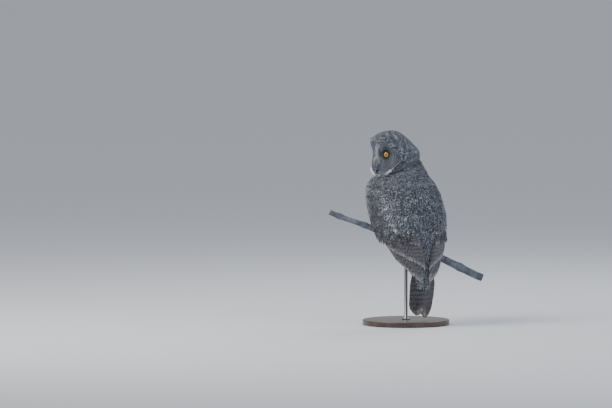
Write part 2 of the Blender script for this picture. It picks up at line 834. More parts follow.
def plumage(name: str, tracts: list[Tract], material: bpy.types.Material) -> bpy.types.Object:
    """Joins tracts into one coat piece with its maps and attributes.

    Args:
        name: The piece's name.
        tracts: What grows on it.
        material: The finish of its feathers.

    Returns:
        The piece.
    """
    grown = [tract.grow() for tract in tracts]
    offsets = np.cumsum([0] + [len(part["points"]) for part in grown[:-1]])
    triangles = np.concatenate([part["triangles"] + at for part, at in zip(grown, offsets)])
    joined = {key: np.concatenate([part[key] for part in grown])
              for key in grown[0] if key != "triangles"}
    obj = mesh_object(name, joined["points"], triangles)
    for key in ("OFBake", "Vane"):
        write(obj, key, joined[key][triangles.ravel()])
    for key in ("Reach", "Seed", "Ground", "Marks"):
        write(obj, key, joined[key])
    obj.data.materials.append(material)
    LOG.info("%s: %d triangles", name, len(triangles))
    return obj


def settle(obj: bpy.types.Object, slot: str, *nodes: str,
           material: Optional[bpy.types.Material] = None) -> None:
    """Puts a finished piece on the body and says which nodes it stands for.

    Args:
        obj: The finished piece.
        slot: The record's material slot that it takes its finish from.
        nodes: CAD nodes that it replaces.
        material: What it is made of, if it has nothing yet.
    """
    if material:
        obj.data.materials.append(material)
    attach(obj, "root")
    if nodes:
        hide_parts(*nodes)
    LOG.info("settled %s for %s", obj.name, ", ".join(nodes) or "the nodes under it")


class Face(Enum):
    """Which outer form a stretch of the trunk's coat lies on."""

    WHOLE = "whole"
    BODY = "body"
    WING = "wing_face"


@dataclass(frozen=True)
class Stretch:
    """One stretch of the trunk's coat, in rows from its top down.

    Angles are in degrees from straight ahead and lengths in millimetres. Each pair gives the
    value at the top and at the foot of the stretch.
    """

    high: float
    low: float
    start: tuple[float, float]
    stop: tuple[float, float]
    row_step: float
    spacing: float
    length: tuple[float, float]
    half: tuple[float, float]
    ground: tuple[str, str]
    marks: tuple[float, float, float]
    drift: tuple[float, float] = (0.0, 0.0)
    face: Face = Face.WHOLE
    outline: Outline = Outline.CLUMP
    sunk: float = -3.0
    rise: tuple[float, float] = (2.0, 2.0)
    dome: float = 1.0
    clumps: int = 5
    uneven: float = 0.32
    both_sides: bool = False
    seed: int = 1

    def tracts(self) -> list[Tract]:
        """Scatters the stretch's feathers in staggered rows.

        Returns:
            One tract, or one for each side.
        """
        sides = [1, -1] if self.both_sides else [1]
        return [self.tract(sign, self.seed + 50 * k) for k, sign in enumerate(sides)]

    def tract(self, sign: int, seed: int) -> Tract:
        """The stretch on one side of the body.

        Args:
            sign: 1 for the left side, -1 for the right.
            seed: Where its random draws start.

        Returns:
            The feathers, laid from the top row down.
        """
        dice = np.random.default_rng(seed)
        radius = getattr(TRUNK, self.face.value)
        rows = []
        row_count = max(2, round((self.high - self.low) / (self.row_step * MM)))
        for k in range(row_count):
            share = k / (row_count - 1)
            z = between((self.high, self.low), share)
            turns = np.radians(np.linspace(between(self.start, share),
                                           between(self.stop, share), 60))
            level = np.full(60, z)
            arc = walked(TRUNK.place(level, turns, radius(level, turns)))
            count = max(2, round(arc[-1] / (self.spacing * MM)))
            at = (np.arange(count) + 0.25 + 0.5 * (k % 2) + dice.normal(0, 0.16, count)) / count
            rows.append((z + dice.normal(0, 0.22, count) * self.row_step * MM,
                         sign * np.interp(at * arc[-1], arc, turns), np.full(count, share)))
        z, angle, share = np.concatenate(rows, axis=1)

        def place(u: Array, v: Array) -> Array:
            """Points round the body from each root: radians round it and metres up it."""
            height, turn = z[:, None] + v, angle[:, None] + u
            return TRUNK.place(height, turn, radius(height, turn))

        size = dice.normal(1.0, 0.07, len(z))
        lean = np.radians(between(self.drift, share) * sign + dice.normal(0, 5, len(z)))
        lie = np.stack([np.cos(angle) * np.sin(lean), np.sin(angle) * np.sin(lean),
                        -np.cos(lean)], axis=1)
        root = TRUNK.place(z, angle, radius(z, angle))
        uneven = np.exp(self.uneven * clouds(root, 0.011, seed) + dice.normal(0, 0.22, len(z)))
        marks = np.array(self.marks) * np.clip(dice.normal(1.0, 0.25, (len(z), 3)), 0, 1.6)
        return Tract(
            place, lie, between(self.length, share) * size * MM,
            between(self.half, share) * size * MM, TRUNK.unwrap(z, angle),
            blend(*self.ground, share) * uneven[:, None], np.clip(marks, 0, 1), self.outline,
            sunk=self.sunk * MM, rise=between(self.rise, share) * MM, dome=self.dome * MM,
            clumps=self.clumps, seed=seed)


@dataclass
class BodyCoat:
    """The trunk's contour feathers, in pieces by region."""

    finish: FeatherFinish = FeatherFinish("contour_feather", bar_mm=8.5, mottle_mm=3.4)
    streaked: FeatherFinish = FeatherFinish("breast_feather", bar_mm=6.5, streak_half=0.27,
                                            edge="#e2e7ef", mottle_mm=2.8, mottle=0.4)

    def breast(self) -> list[Stretch]:
        """Long soft feathers of breast and flanks, each with a dark streak and pale edges.

        Returns:
            The stretches of the front.
        """
        return [
            Stretch(0.262, 0.075, (-96, -78), (96, 78), 6.2, 7.4, (24, 34), (6.6, 8.6),
                    ("#8f96a3", "#959ca9"), (0.35, 1.0, 0.95), sunk=-4.0, rise=(1.6, 2.2),
                    seed=11),
            Stretch(0.256, 0.070, (-88, -74), (88, 74), 13.0, 12.5, (28, 38), (7.6, 9.6),
                    ("#d0d5de", "#c6ccd6"), (0.10, 1.0, 1.0), sunk=-2.5, rise=(3.4, 4.2),
                    clumps=7, seed=19),
            Stretch(0.078, 0.018, (-86, -100), (86, 100), 5.0, 8.0, (32, 28), (9.0, 8.5),
                    ("#8d94a1", "#9aa1ad"), (0.50, 0.6, 0.8), sunk=-3.5, rise=(2.4, 2.4),
                    seed=12, face=Face.BODY),
        ]

    def belly(self) -> list[Stretch]:
        """Loose pale feathers of the belly's foot and under the tail."""
        return [
            Stretch(0.030, -0.128, (-112, -150), (112, 150), 6.2, 7.6, (28, 20), (8.0, 6.0),
                    ("#9aa1ad", "#7e8490"), (0.55, 0.35, 0.7), sunk=-3.0, rise=(2.6, 1.8),
                    seed=13, face=Face.BODY),
            Stretch(0.050, 0.000, (-70, -64), (70, 64), 7.0, 7.6, (36, 34), (7.0, 6.4),
                    ("#a3a9b4", "#a9aeb8"), (0.30, 0.7, 0.9), sunk=-1.0, rise=(7.0, 9.0),
                    seed=20, face=Face.BODY),
        ]

    def neck(self) -> list[Stretch]:
        """Dense loose feathers round the neck that fill the crease under the head's own."""
        return [
            Stretch(0.306, 0.221, (138, 138), (402, 402), 4.6, 5.6, (22, 26), (5.0, 6.6),
                    ("#858d9b", "#757c8a"), (0.85, 0.35, 0.7), sunk=-3.0, rise=(6.0, 2.4),
                    uneven=0.40, seed=14),
            Stretch(0.272, 0.221, (42, 42), (138, 138), 4.6, 5.6, (18, 24), (5.0, 6.6),
                    ("#858d9b", "#7b8290"), (0.85, 0.35, 0.7), sunk=-3.0, rise=(0.5, 2.4),
                    uneven=0.40, seed=34),
        ]

    def back(self) -> list[Stretch]:
        """Barred and mottled feathers of mantle, scapulars and rump.

        Returns:
            The stretches of the back.
        """
        return [
            Stretch(0.020, -0.112, (140, 150), (220, 210), 7.0, 8.0, (34, 36), (8.4, 8.6),
                    ("#727884", "#70757f"), (1.0, 0.4, 0.8), sunk=-2.0, rise=(1.2, 1.0),
                    seed=15, face=Face.BODY),
            Stretch(0.252, 0.000, (92, 152), (268, 208), 6.4, 8.0, (24, 34), (7.2, 9.2),
                    ("#747b89", "#6e7481"), (0.9, 0.6, 0.75), sunk=-3.0, rise=(2.2, 2.4),
                    uneven=0.55, seed=16),
            Stretch(0.212, 0.052, (100, 126), (132, 152), 8.0, 9.0, (34, 44), (9.0, 11.0),
                    ("#747b89", "#737986"), (0.9, 0.6, 0.9), drift=(3, 9), sunk=-2.0,
                    rise=(3.2, 3.6), uneven=0.55, both_sides=True, seed=17),
        ]

    def pale_scapulars(self) -> list[Stretch]:
        """The outer scapulars, whose white webs draw a pale broken line down each side."""
        return [
            Stretch(0.205, 0.060, (106, 120), (116, 132), 12.0, 9.0, (30, 40), (7.5, 9.0),
                    ("#a9b0bc", "#9aa1ad"), (0.60, 0.8, 1.0), drift=(2, 10), sunk=-1.5,
                    rise=(4.4, 4.6), uneven=0.7, both_sides=True, seed=18),
        ]

    def build(self) -> None:
        """Builds and dresses the pieces of the trunk's coat."""
        plain, streaked = self.finish.material(), self.streaked.material()
        pieces = (
            ("coat_breast", self.breast(), streaked),
            ("coat_belly", self.belly(), streaked),
            ("coat_neck", self.neck(), plain),
            ("coat_back", self.back(), plain),
            ("coat_scapulars", self.pale_scapulars(), streaked),
        )
        for name, stretches, material in pieces:
            tracts = [tract for stretch in stretches for tract in stretch.tracts()]
            settle(plumage(name, tracts, material), "plumage")


@dataclass(frozen=True)
class Tier:
    """A row of long feathers on a closed wing, from its leading edge to its back.

    Pairs run from the leading edge to the back, angles in degrees and levels in millimetres
    from the wing's outer face.
    """

    count: int
    half: float
    root_z: tuple[float, float]
    root_angle: tuple[float, float]
    tip_z: tuple[float, ...]
    tip_angle: tuple[float, ...]
    level: tuple[float, float]
    ground: tuple[str, str]
    marks: tuple[float, float, float]
    dip: float = 2.5
    outline: Outline = Outline.STRAP
    seed: int = 1

    def tract(self, side: Side) -> Tract:
        """The row's feathers on one side.

        Args:
            side: Which wing.

        Returns:
            The row as a tract.
        """
        dice = np.random.default_rng(self.seed + (7 if side is Side.RIGHT else 0))
        share = np.linspace(0, 1, self.count)
        root_z, root = between(self.root_z, share), np.radians(between(self.root_angle, share))
        tip_z, tip = (np.interp(share, np.linspace(0, 1, len(row)), row)
                      for row in (self.tip_z, self.tip_angle))
        tip_z, tip = tip_z + dice.normal(0, 0.0012, self.count), np.radians(tip)
        reach = self.half / TRUNK.wing_face(tip_z, tip)
        tip = np.minimum(tip, math.radians(177) - reach)
        root, tip = side.value * root, side.value * tip

        def place(u: Array, v: Array) -> Array:
            """Points on the wing's face: radians round it and metres up it from each root."""
            height, turn = root_z[:, None] + v, root[:, None] + u
            return TRUNK.place(height, turn, TRUNK.wing_face(height, turn))

        start = TRUNK.place(root_z, root, TRUNK.wing_face(root_z, root))
        end = TRUNK.place(tip_z, tip, TRUNK.wing_face(tip_z, tip))
        level = between(self.level, share) * MM
        ground = blend(*self.ground, share) * dice.normal(1.0, 0.07, self.count)[:, None]
        return Tract(
            place, end - start, np.linalg.norm(end - start, axis=1) * 1.01, self.half,
            TRUNK.unwrap(root_z, root), ground, strengths(dice, self.marks, 0.08, self.count),
            self.outline, sunk=level - self.dip * MM, rise=level, dome=0.0010, thick=0.0004,
            splay=0.0001, tilt=0.0007 * side.value, seed=self.seed)


@dataclass
class Wings:
    """Both closed wings: small coverts like scales, then longer rows down to the primaries."""

    flight: FeatherFinish = FeatherFinish("flight_feather", bar_mm=14.0, bow=0.10, bar_shade=0.42,
                                          stray=0.4,
                                          streak="#26252b", streak_half=0.07, edge="#c2bfc3",
                                          edge_from=0.86, mottle_mm=3.0, mottle=0.45,
                                          roughness=0.72)
    covert: FeatherFinish = FeatherFinish("wing_covert", bar_mm=8.5, bow=0.30, bar_shade=0.30,
                                          streak_half=0.16, edge="#b4b6c0", mottle_mm=2.0,
                                          mottle=0.60, roughness=0.78)

    def tiers(self) -> list[Tier]:
        """Primaries, secondaries and their coverts, from the lowest layer up.

        Returns:
            The layers of a folded wing.
        """
        umber = ("#6b676c", "#6d6970")
        return [
            Tier(10, 0.0125, (0.070, 0.070), (81, 138),
                 (-0.062, -0.089, -0.108, -0.121, -0.122, -0.114), (87, 92, 98, 106, 117, 131),
                 (-9.0, -6.6), umber, (0.85, 0.5, 0.8), seed=21),
            Tier(13, 0.0150, (0.085, 0.085), (84, 151), (-0.006, -0.034, -0.062, -0.084),
                 (88, 112, 138, 164), (-6.2, -4.2), umber, (0.80, 0.5, 0.7), seed=22),
            Tier(11, 0.0150, (0.114, 0.114), (83, 146), (0.047, 0.030, 0.014, -0.002),
                 (86, 110, 134, 157), (-3.2, -1.6), ("#6a6870", "#6b6b75"),
                 (0.90, 0.5, 0.5), seed=23),
            Tier(12, 0.0130, (0.142, 0.142), (80, 140), (0.090, 0.080, 0.070), (84, 112, 146),
                 (-0.9, 0.6), ("#666872", "#696c77"), (0.9, 0.5, 0.8), seed=24,
                 outline=Outline.ROUNDED),
        ]

    def small_coverts(self) -> list[Stretch]:
        """The scale-like coverts over the wing's shoulder and its middle rows."""
        return [
            Stretch(0.212, 0.092, (66, 68), (116, 140), 6.0, 7.0, (17, 24), (6.6, 8.4),
                    ("#6a6e7a", "#656771"), (0.9, 0.5, 0.8), face=Face.WING, sunk=-1.8,
                    rise=(1.6, 1.6), uneven=0.55, both_sides=True, seed=25),
            Stretch(0.118, 0.040, (74, 76), (128, 148), 12.0, 9.0, (22, 26), (7.4, 8.6),
                    ("#666871", "#61616b"), (0.9, 0.5, 0.9), face=Face.WING, sunk=-1.6,
                    rise=(1.2, 1.2), uneven=0.55, both_sides=True, seed=26),
        ]

    def build(self) -> None:
        """Builds and dresses both wings' feathers."""
        flight, covert = self.flight.material(), self.covert.material()
        small = [stretch.tracts() for stretch in self.small_coverts()]
        primaries, secondaries, greater, median = self.tiers()
        for k, side in enumerate(Side):
            settle(plumage(f"quills_{side.word}",
                           [primaries.tract(side), secondaries.tract(side)], flight),
                   "wing_feather")
            rows = [greater.tract(side), median.tract(side)] + [pair[k] for pair in small]
            settle(plumage(f"coverts_{side.word}", rows, covert), "wing_feather")


@dataclass
class Tail:
    """Twelve tail feathers in two halves, which leave a notch between their tips."""

    root: float = -0.100
    half: float = 0.0175
    step: float = 0.0018
    left: tuple[float, ...] = (0.129, 0.135, 0.138, 0.137, 0.132, 0.124)
    right: tuple[float, ...] = (0.131, 0.141, 0.146, 0.146, 0.142, 0.134)
    finish: FeatherFinish = FeatherFinish("tail_feather", bar_mm=16.0, bow=0.12, bar_shade=0.44,
                                          stray=0.12,
                                          streak="#232227", streak_half=0.06, edge="#cfc8bb",
                                          edge_from=0.90, rim=0.3,
                                          mottle_mm=4.0, mottle=0.70, roughness=0.74)

    def tract(self, side: Side) -> Tract:
        """One half of the tail, from its middle feather outwards.

        Args:
            side: Which half.

        Returns:
            Its feathers.
        """
        lengths = np.array(self.left if side is Side.LEFT else self.right)
        order = np.arange(len(lengths))
        sign = side.value
        level = 0.0035 - self.step * order - (self.step / 2 if sign < 0 else 0.0)

        def place(u: Array, v: Array) -> Array:
            """Points on each feather's own plane: metres aside and metres up from its root."""
            share = np.clip(-v / lengths[:, None], 0, 1.05)
            middle = sign * (0.0045 + (0.0068 - 0.0016 * share) * order[:, None])
            y = 0.1045 - 0.014 * smooth(share, 0.15, 1.0) + level[:, None]
            y = y - 0.0006 * (u / self.half) ** 2 + sign * (u / self.half) * self.step * 0.35
            z = np.broadcast_to(PERCH_Z + self.root + v, u.shape)
            return np.stack([middle - u, y, z], axis=-1) + SHIFT

        count = len(lengths)
        ground = tone("#56555c") * np.linspace(1.05, 0.92, count)[:, None]
        unwrap = np.stack([0.5 + sign * (0.0045 + 0.0062 * order) * 9, np.full(count, 0.05)],
                          axis=1)
        return Tract(place, np.tile([0.0, 0.0, -1.0], (count, 1)), lengths, self.half, unwrap,
                     ground, np.tile([0.9, 0.6, 0.9], (count, 1)), Outline.STRAP, sunk=0.0,
                     rise=0.0, dome=0.0006, thick=0.0006, splay=0.0002, seed=31)

    def build(self) -> None:
        """Builds and dresses the tail feathers."""
        material = self.finish.material()
        settle(plumage("tail_quills", [self.tract(side) for side in Side], material),
               "tail_feather")


@dataclass
class HeadCoat:
    """The head's feathers: crown and nape, ruff, facial disc, brows, moustache and chin."""

    plain: FeatherFinish = FeatherFinish("crown_feather", bar_mm=7.0, bow=0.35, bar_shade=0.20,
                                         streak_half=0.2, edge="#d3d9e3", mottle_mm=1.8,
                                         mottle=0.45)
    stiff: FeatherFinish = FeatherFinish("ruff_feather", bar_mm=4.2, bow=0.1, bar_shade=0.30,
                                         streak_half=0.2, edge="#dfe4ec", mottle_mm=1.6,
                                         mottle=0.4, roughness=0.75)
    white: FeatherFinish = FeatherFinish("white_plume", bar_mm=9.0, bar_shade=0.75,
                                         streak="#aab0ba", streak_half=0.12, edge="#f2f5fa",
                                         mottle_mm=2.0, mottle=0.15)
    disc: DiscFinish = DiscFinish()

    def on_head(self, way: Array, lie: Array, length: Array, half: Array | float, ground: Array,
                marks: Array, seed: int, **forms: object) -> Tract:
        """A tract of feathers rooted on the head.

        Args:
            way: Directions of the roots from the head's centre.
            lie: The way each feather points, in forward, left and up parts.
            length: Feather lengths.
            half: Feather half widths.
            ground: Colours.
            marks: Strengths of bars, streak and pale edge.
            seed: Seed of its small differences.
            forms: Further sizes of the tract.

        Returns:
            The tract.
        """
        helper = np.where(np.abs(way[:, :1]) < 0.8, [[1.0, 0, 0]], [[0, 1.0, 0]])
        first = unit(np.cross(helper, way))
        second = np.cross(way, first)

        def place(u: Array, v: Array) -> Array:
            """Points on the head by two small angles from each root."""
            return HEAD.surface(way[:, None] + u[..., None] * first[:, None]
                                + v[..., None] * second[:, None])

        azimuth = np.arctan2(way[:, 2], way[:, 1])
        spread = np.sin(np.arccos(np.clip(way[:, 0], -1, 1)) / 2) * 0.47
        unwrap = 0.5 + np.stack([np.cos(azimuth), np.sin(azimuth)], axis=1) * spread[:, None]
        return Tract(place, lie @ HEAD.axes(), length, half, unwrap, ground, marks, seed=seed,
                     **forms)

    def crown(self) -> Tract:
        """Soft barred feathers from behind the disc's rim over crown, cheeks and nape.

        Returns:
            The feathers, which lie away from the face.
        """
        dice = np.random.default_rng(41)
        turns, rows = circle(720), 36
        rim, closed = HEAD.rim_polar(turns), np.append(turns, 2 * math.pi)
        ways, shares = [], []
        for k in range(rows):
            share = (k / (rows - 1)) ** 1.05
            polar = rim + (math.radians(176) - rim) * share
            ring = HEAD.surface(HEAD.direction(polar, turns))
            around = walked(np.vstack([ring, ring[:1]]))
            count = max(5, int(around[-1] / (5.2 * MM)))
            at = (np.arange(count) + 0.5 * (k % 2) + dice.normal(0, 0.16, count)) / count
            picked = np.interp((at % 1.0) * around[-1], around, closed)
            angle = np.interp(picked, closed, np.append(polar, polar[0]))
            ways.append(HEAD.direction(angle + dice.normal(0, 0.008, count), picked))
            shares.append(np.full(count, share))
        way, share = np.concatenate(ways), np.concatenate(shares)
        ahead, above = way[:, 0], way[:, 2]
        nape = smooth(-ahead, 0.2, 0.9) * smooth(-above, -0.5, 0.5)
        length = (10.0 + 4.5 * share + 8 * nape) * dice.normal(1, 0.07, len(way)) * MM
        lie = [-1.0, 0.0, 0.0] + 0.35 * way
        lie[:, 2] -= 0.9 * smooth(-ahead, 0.0, 0.8)
        lie[:, 1:] += 0.8 * way[:, 1:] * smooth(ahead, 0.0, 0.6)[:, None]
        ground = blend("#788090", "#6f7786", smooth(above, -0.2, 0.7))
        uneven = 0.50 * clouds(HEAD.surface(way), 0.0095, 40) + dice.normal(0, 0.25, len(way))
        return self.on_head(way, lie, length, length * 0.33, ground * np.exp(uneven)[:, None],
                            strengths(dice, (1.0, 0.15, 0.9), 0.2, len(way)), 42,
                            outline=Outline.CLUMP, clumps=4, sunk=-0.0022,
                            rise=0.0012 + 0.0060 * nape**2, dome=0.0008, thick=0.00025,
                            splay=0.0004)

    def ruff(self) -> Tract:
        """Stiff narrow feathers that stand round the disc's rim, dark and pale by turns.

        Returns:
            The feathers, once round the face.
        """
        dice = np.random.default_rng(43)
        ways, darks = [], []
        for k, (share, dark) in enumerate(((0.94, 0.15), (0.965, 0.9), (0.99, 0.75),
                                           (1.015, 0.35), (1.04, 0.55))):
            turns = circle(230) + 0.0137 * (k % 2) + dice.normal(0, 0.005, 230)
            ways.append(HEAD.direction(HEAD.rim_polar(turns) * share, turns))
            darks.append(np.sin(turns * 46 + k) * 0.28 + dice.uniform(0, 1, 230) < dark)
        way, dark = np.concatenate(ways), np.concatenate(darks)
        ground = blend("#b9c1cd", "#262a33", dark) * dice.normal(1, 0.12, len(way))[:, None]
        return self.on_head(way, way * [0, 1, 1] - [0.75, 0, 0],
                            dice.normal(9.4, 1.0, len(way)) * MM, 1.55 * MM, ground,
                            np.array([0.6, 0.0, 0.5]) * ~dark[:, None], 44,
                            outline=Outline.POINTED, sunk=-0.0012, rise=0.0024, dome=0.0005)

    def face_roots(self, spacing: float, dice: np.random.Generator) -> tuple[Array, Array]:
        """Staggered places over the whole disc, left and up in the face's plane."""
        ups = np.arange(-0.066, 0.060, spacing * 0.87)
        left, up = np.meshgrid(np.arange(-0.092, 0.092, spacing), ups)
        left = (left + 0.5 * spacing * (np.arange(len(ups)) % 2)[:, None]).ravel()
        left = left + dice.normal(0, 0.12, len(left)) * spacing
        return left, up.ravel() + dice.normal(0, 0.12, len(left)) * spacing

    def disc_tract(self) -> Tract:
        """Fine thin feathers that point away from each eye to the rim.

        Returns:
            The feathers, with their rings and crescents as ground colours.
        """
        dice = np.random.default_rng(45)
        left, up = self.face_roots(2.15 * MM, dice)
        side = np.where(left > 0, 1.0, -1.0)
        way = HEAD.face_way(left, up)
        ahead, out, high = HEAD.eye_place
        eye = np.stack([np.full(len(left), ahead + 0.0075), side * (out + 0.0065),
                        np.full(len(left), high)], axis=1)
        away = way * HEAD.radius(way)[:, None] - eye
        off = np.linalg.norm(away, axis=1)
        keep = (HEAD.share(left, up) < 0.99) & (off > 0.0090)
        left, up, way, away, off = (a[keep] for a in (left, up, way, away, off))
        aside, count = np.abs(left), len(left)
        # The face's markings: dark by the eye, down beside the crest and at the chin, and pale
        # in the crescents and on the crest between them
        shade = 0.9 * (1 - smooth(off, 0.0110, 0.0190))
        line = np.exp(-(((aside - 0.0046) / 0.0013) ** 2)) * smooth(up, -0.020, -0.008)
        lore = np.exp(-(((aside - out + 0.0125) / 0.0065) ** 2) - (((up - 0.004) / 0.016) ** 2))
        curve = 0.0082 + 0.0032 * ((up - 0.003) / 0.026) ** 2
        pale = np.exp(-(((aside - curve) / 0.0028) ** 2) - (((up - 0.003) / 0.027) ** 4))
        crest = np.exp(-((left / 0.0024) ** 2)) * smooth(up, -0.016, -0.004)
        chin = smooth(-up, 0.040, 0.049) * (1 - smooth(aside, 0.006, 0.012))
        ground = tone("#87909e") * dice.normal(1, 0.10, count)[:, None]
        ground = ground * (1 - 0.25 * smooth(HEAD.share(left, up), 0.75, 1.0)[:, None])
        for part, colour in ((shade, "#20242c"), (line, "#2b3038"), (lore, "#1b2028"),
                             (pale, "#bfc7d3"), (crest, "#bcc4d0"), (chin, "#101115")):
            ground = blend(ground, colour, part)
        rings = 0.95 * (1 - np.clip(pale + lore + chin + crest, 0, 1))
        length = (6.5 + 4.0 * smooth(off, 0.012, 0.045)) * dice.normal(1, 0.1, count) * MM
        return self.on_head(way, away, length, 1.05 * MM, ground, rings[:, None] * [1, 0, 0],
                            46, outline=Outline.POINTED, sunk=-0.0008, rise=0.0012,
                            dome=0.0003, thick=0.0002, splay=0.0005)

    def plumes(self, left: Array, up: Array, lie: Array, length: float, half: float,
               colour: str, seed: int, rise: float) -> Tract:
        """Longer plumes at places of the face, with lengths and half widths in millimetres."""
        dice = np.random.default_rng(seed)
        count = len(left)
        ground = tone(colour) * dice.normal(1, 0.07, count)[:, None]
        size = dice.normal(length, 0.1 * length, count) * MM
        return self.on_head(HEAD.face_way(left, up), lie + dice.normal(0, 0.10, (count, 3)),
                            size, half * MM, ground, np.tile([0.0, 0.4, 0.6], (count, 1)), seed,
                            outline=Outline.POINTED, sunk=-0.0010, rise=rise, dome=0.0005)

    def paired(self, draw: Callable, seed: int, *look: object) -> list[Tract]:
        """The same plumes on both sides.

        Args:
            draw: Gives their places out and up and their lie forward, out and up.
            seed: Seed of the places.
            look: Length, half width and colour of the plumes, and their rise.

        Returns:
            A tract for each side.
        """
        tracts = []
        for sign in (side.value for side in Side):
            out, up, lie = draw(np.random.default_rng(seed + sign))
            lie = np.stack(np.broadcast_arrays(*lie), axis=1) * [1, sign, 1]
            *sizes, rise = look
            tracts.append(self.plumes(sign * out, up, lie, *sizes, seed + 1 + sign, rise))
        return tracts

    def brows(self) -> list[Tract]:
        """Two pale crescents between the eyes, back to back."""
        def draw(dice: np.random.Generator) -> tuple:
            """Places and lies on a side."""
            share = dice.uniform(-1, 1, 230)
            out = 0.0072 + 0.0058 * share**2 + dice.normal(0, 0.0008, 230)
            return out, 0.004 + 0.027 * share, (0.15, 0.15 + 0.55 * np.abs(share), 1.4 * share)

        return self.paired(draw, 47, 7.5, 0.95, "#b4bcc8", 0.0016)

    def moustache(self) -> list[Tract]:
        """White plumes under the disc, from beside the chin outwards along its rim."""
        def draw(dice: np.random.Generator) -> tuple:
            """Places and lies on a side."""
            share = np.sort(dice.uniform(0, 1, 270))
            up = -0.0700 - 0.0030 * np.sin(math.pi * share) + 0.016 * share**1.5
            up = up + dice.normal(0, 0.0017, 270) * (1.2 - 0.7 * share)
            return 0.0078 + 0.056 * share, up, (0.1, 1.0, 0.02 + 0.46 * share)

        return self.paired(draw, 57, 11.5, 1.5, "#f4f6fa", 0.0066)

    def bristles(self) -> list[Tract]:
        """Fine pale bristles that sweep forward over the bill's base and nostrils."""
        def draw(dice: np.random.Generator) -> tuple:
            """Places and lies on a side."""
            share = dice.uniform(0, 1, 150)
            out = 0.0092 + 0.0042 * (1 - share) + dice.normal(0, 0.0011, 150)
            return out, -0.004 - 0.026 * share, (0.85, -0.10 - 0.25 * share, -1.0)

        return self.paired(draw, 71, 12.0, 0.5, "#a9b0bb", 0.0034)

    def chin(self) -> Tract:
        """Black feathers under the bill, between the two halves of the moustache."""
        dice = np.random.default_rng(67)
        left, up = dice.uniform(-0.0085, 0.0085, 130), dice.uniform(-0.070, -0.044, 130)
        lie = np.stack([np.zeros(130), left * 25, np.full(130, -1.0)], axis=1)
        tract = self.plumes(left, up, lie, 9.0, 1.3, "#101115", 68, 0.0024)
        tract.marks = np.zeros((130, 3))
        return tract

    def build(self) -> None:
        """Builds and dresses the head's feathers, piece by piece."""
        white = self.white.material()
        for name, tracts, material in (
                ("coat_head", [self.crown()], self.plain.material()),
                ("ruff", [self.ruff()], self.stiff.material()),
                ("facial_disc", [self.disc_tract()], self.disc.material()),
                ("brows", [*self.brows(), *self.bristles()], white),
                ("moustache", [*self.moustache(), self.chin()], white)):
            settle(plumage(name, tracts, material), "plumage")


def closed_tube(name: str, rings: Array) -> bpy.types.Object:
    """A closed body through rings of as many points each, with a fan at each end.

    Args:
        name: The object's name.
        rings: Points by ring, then round each ring.

    Returns:
        The object, with its faces outwards.
    """
    rings = np.asarray(rings, float)
    rows, count = rings.shape[:2]
    points = np.concatenate([rings.reshape(-1, 3), rings[:1].mean(axis=1),
                             rings[-1:].mean(axis=1)])
    k, j = np.meshgrid(np.arange(rows - 1), np.arange(count), indexing="ij")
    a, b = k * count + j, k * count + (j + 1) % count
    walls = np.stack([a, b, b + count, a, b + count, a + count], axis=-1).reshape(-1, 3)
    a, b = np.arange(count), (np.arange(count) + 1) % count
    base, low = (rows - 1) * count, np.full(count, rows * count)
    ends = [np.stack([b, a, low], axis=1), np.stack([base + a, base + b, low + 1], axis=1)]
    triangles = np.concatenate([walls, *ends])
    p, q, r = (points[triangles[:, n]] for n in range(3))
    if np.sum(p * np.cross(q, r)) < 0:
        triangles = triangles[:, ::-1]
    return mesh_object(name, points, triangles)


def spun(turns: Array, first: Array, second: Array) -> Array:
    """Directions at angles from the first direction to the second, by row and angle.

    Args:
        turns: Angles, the same for every row or one set a row.
        first: Directions from which the turns are counted, one a row.
        second: Directions a quarter turn on.

    Returns:
        Directions, three numbers each.
    """
    turns = np.atleast_2d(turns)[..., None]
    return np.cos(turns) * first[:, None] + np.sin(turns) * second[:, None]


def coordinates(obj: bpy.types.Object) -> Array:
    """An object's points, three numbers each."""
    points = np.empty(len(obj.data.vertices) * 3, np.float32)
    obj.data.vertices.foreach_get("co", points)
    return points.reshape(-1, 3)


def plain_mesh(obj: bpy.types.Object) -> bpy.types.Object:
    """Replaces an object's mesh by what its modifiers make of it, and removes them."""
    bpy.context.view_layer.update()
    graph = bpy.context.evaluated_depsgraph_get()
    mesh = bpy.data.meshes.new_from_object(obj.evaluated_get(graph))
    obj.modifiers.clear()
    obj.data = mesh
    return obj


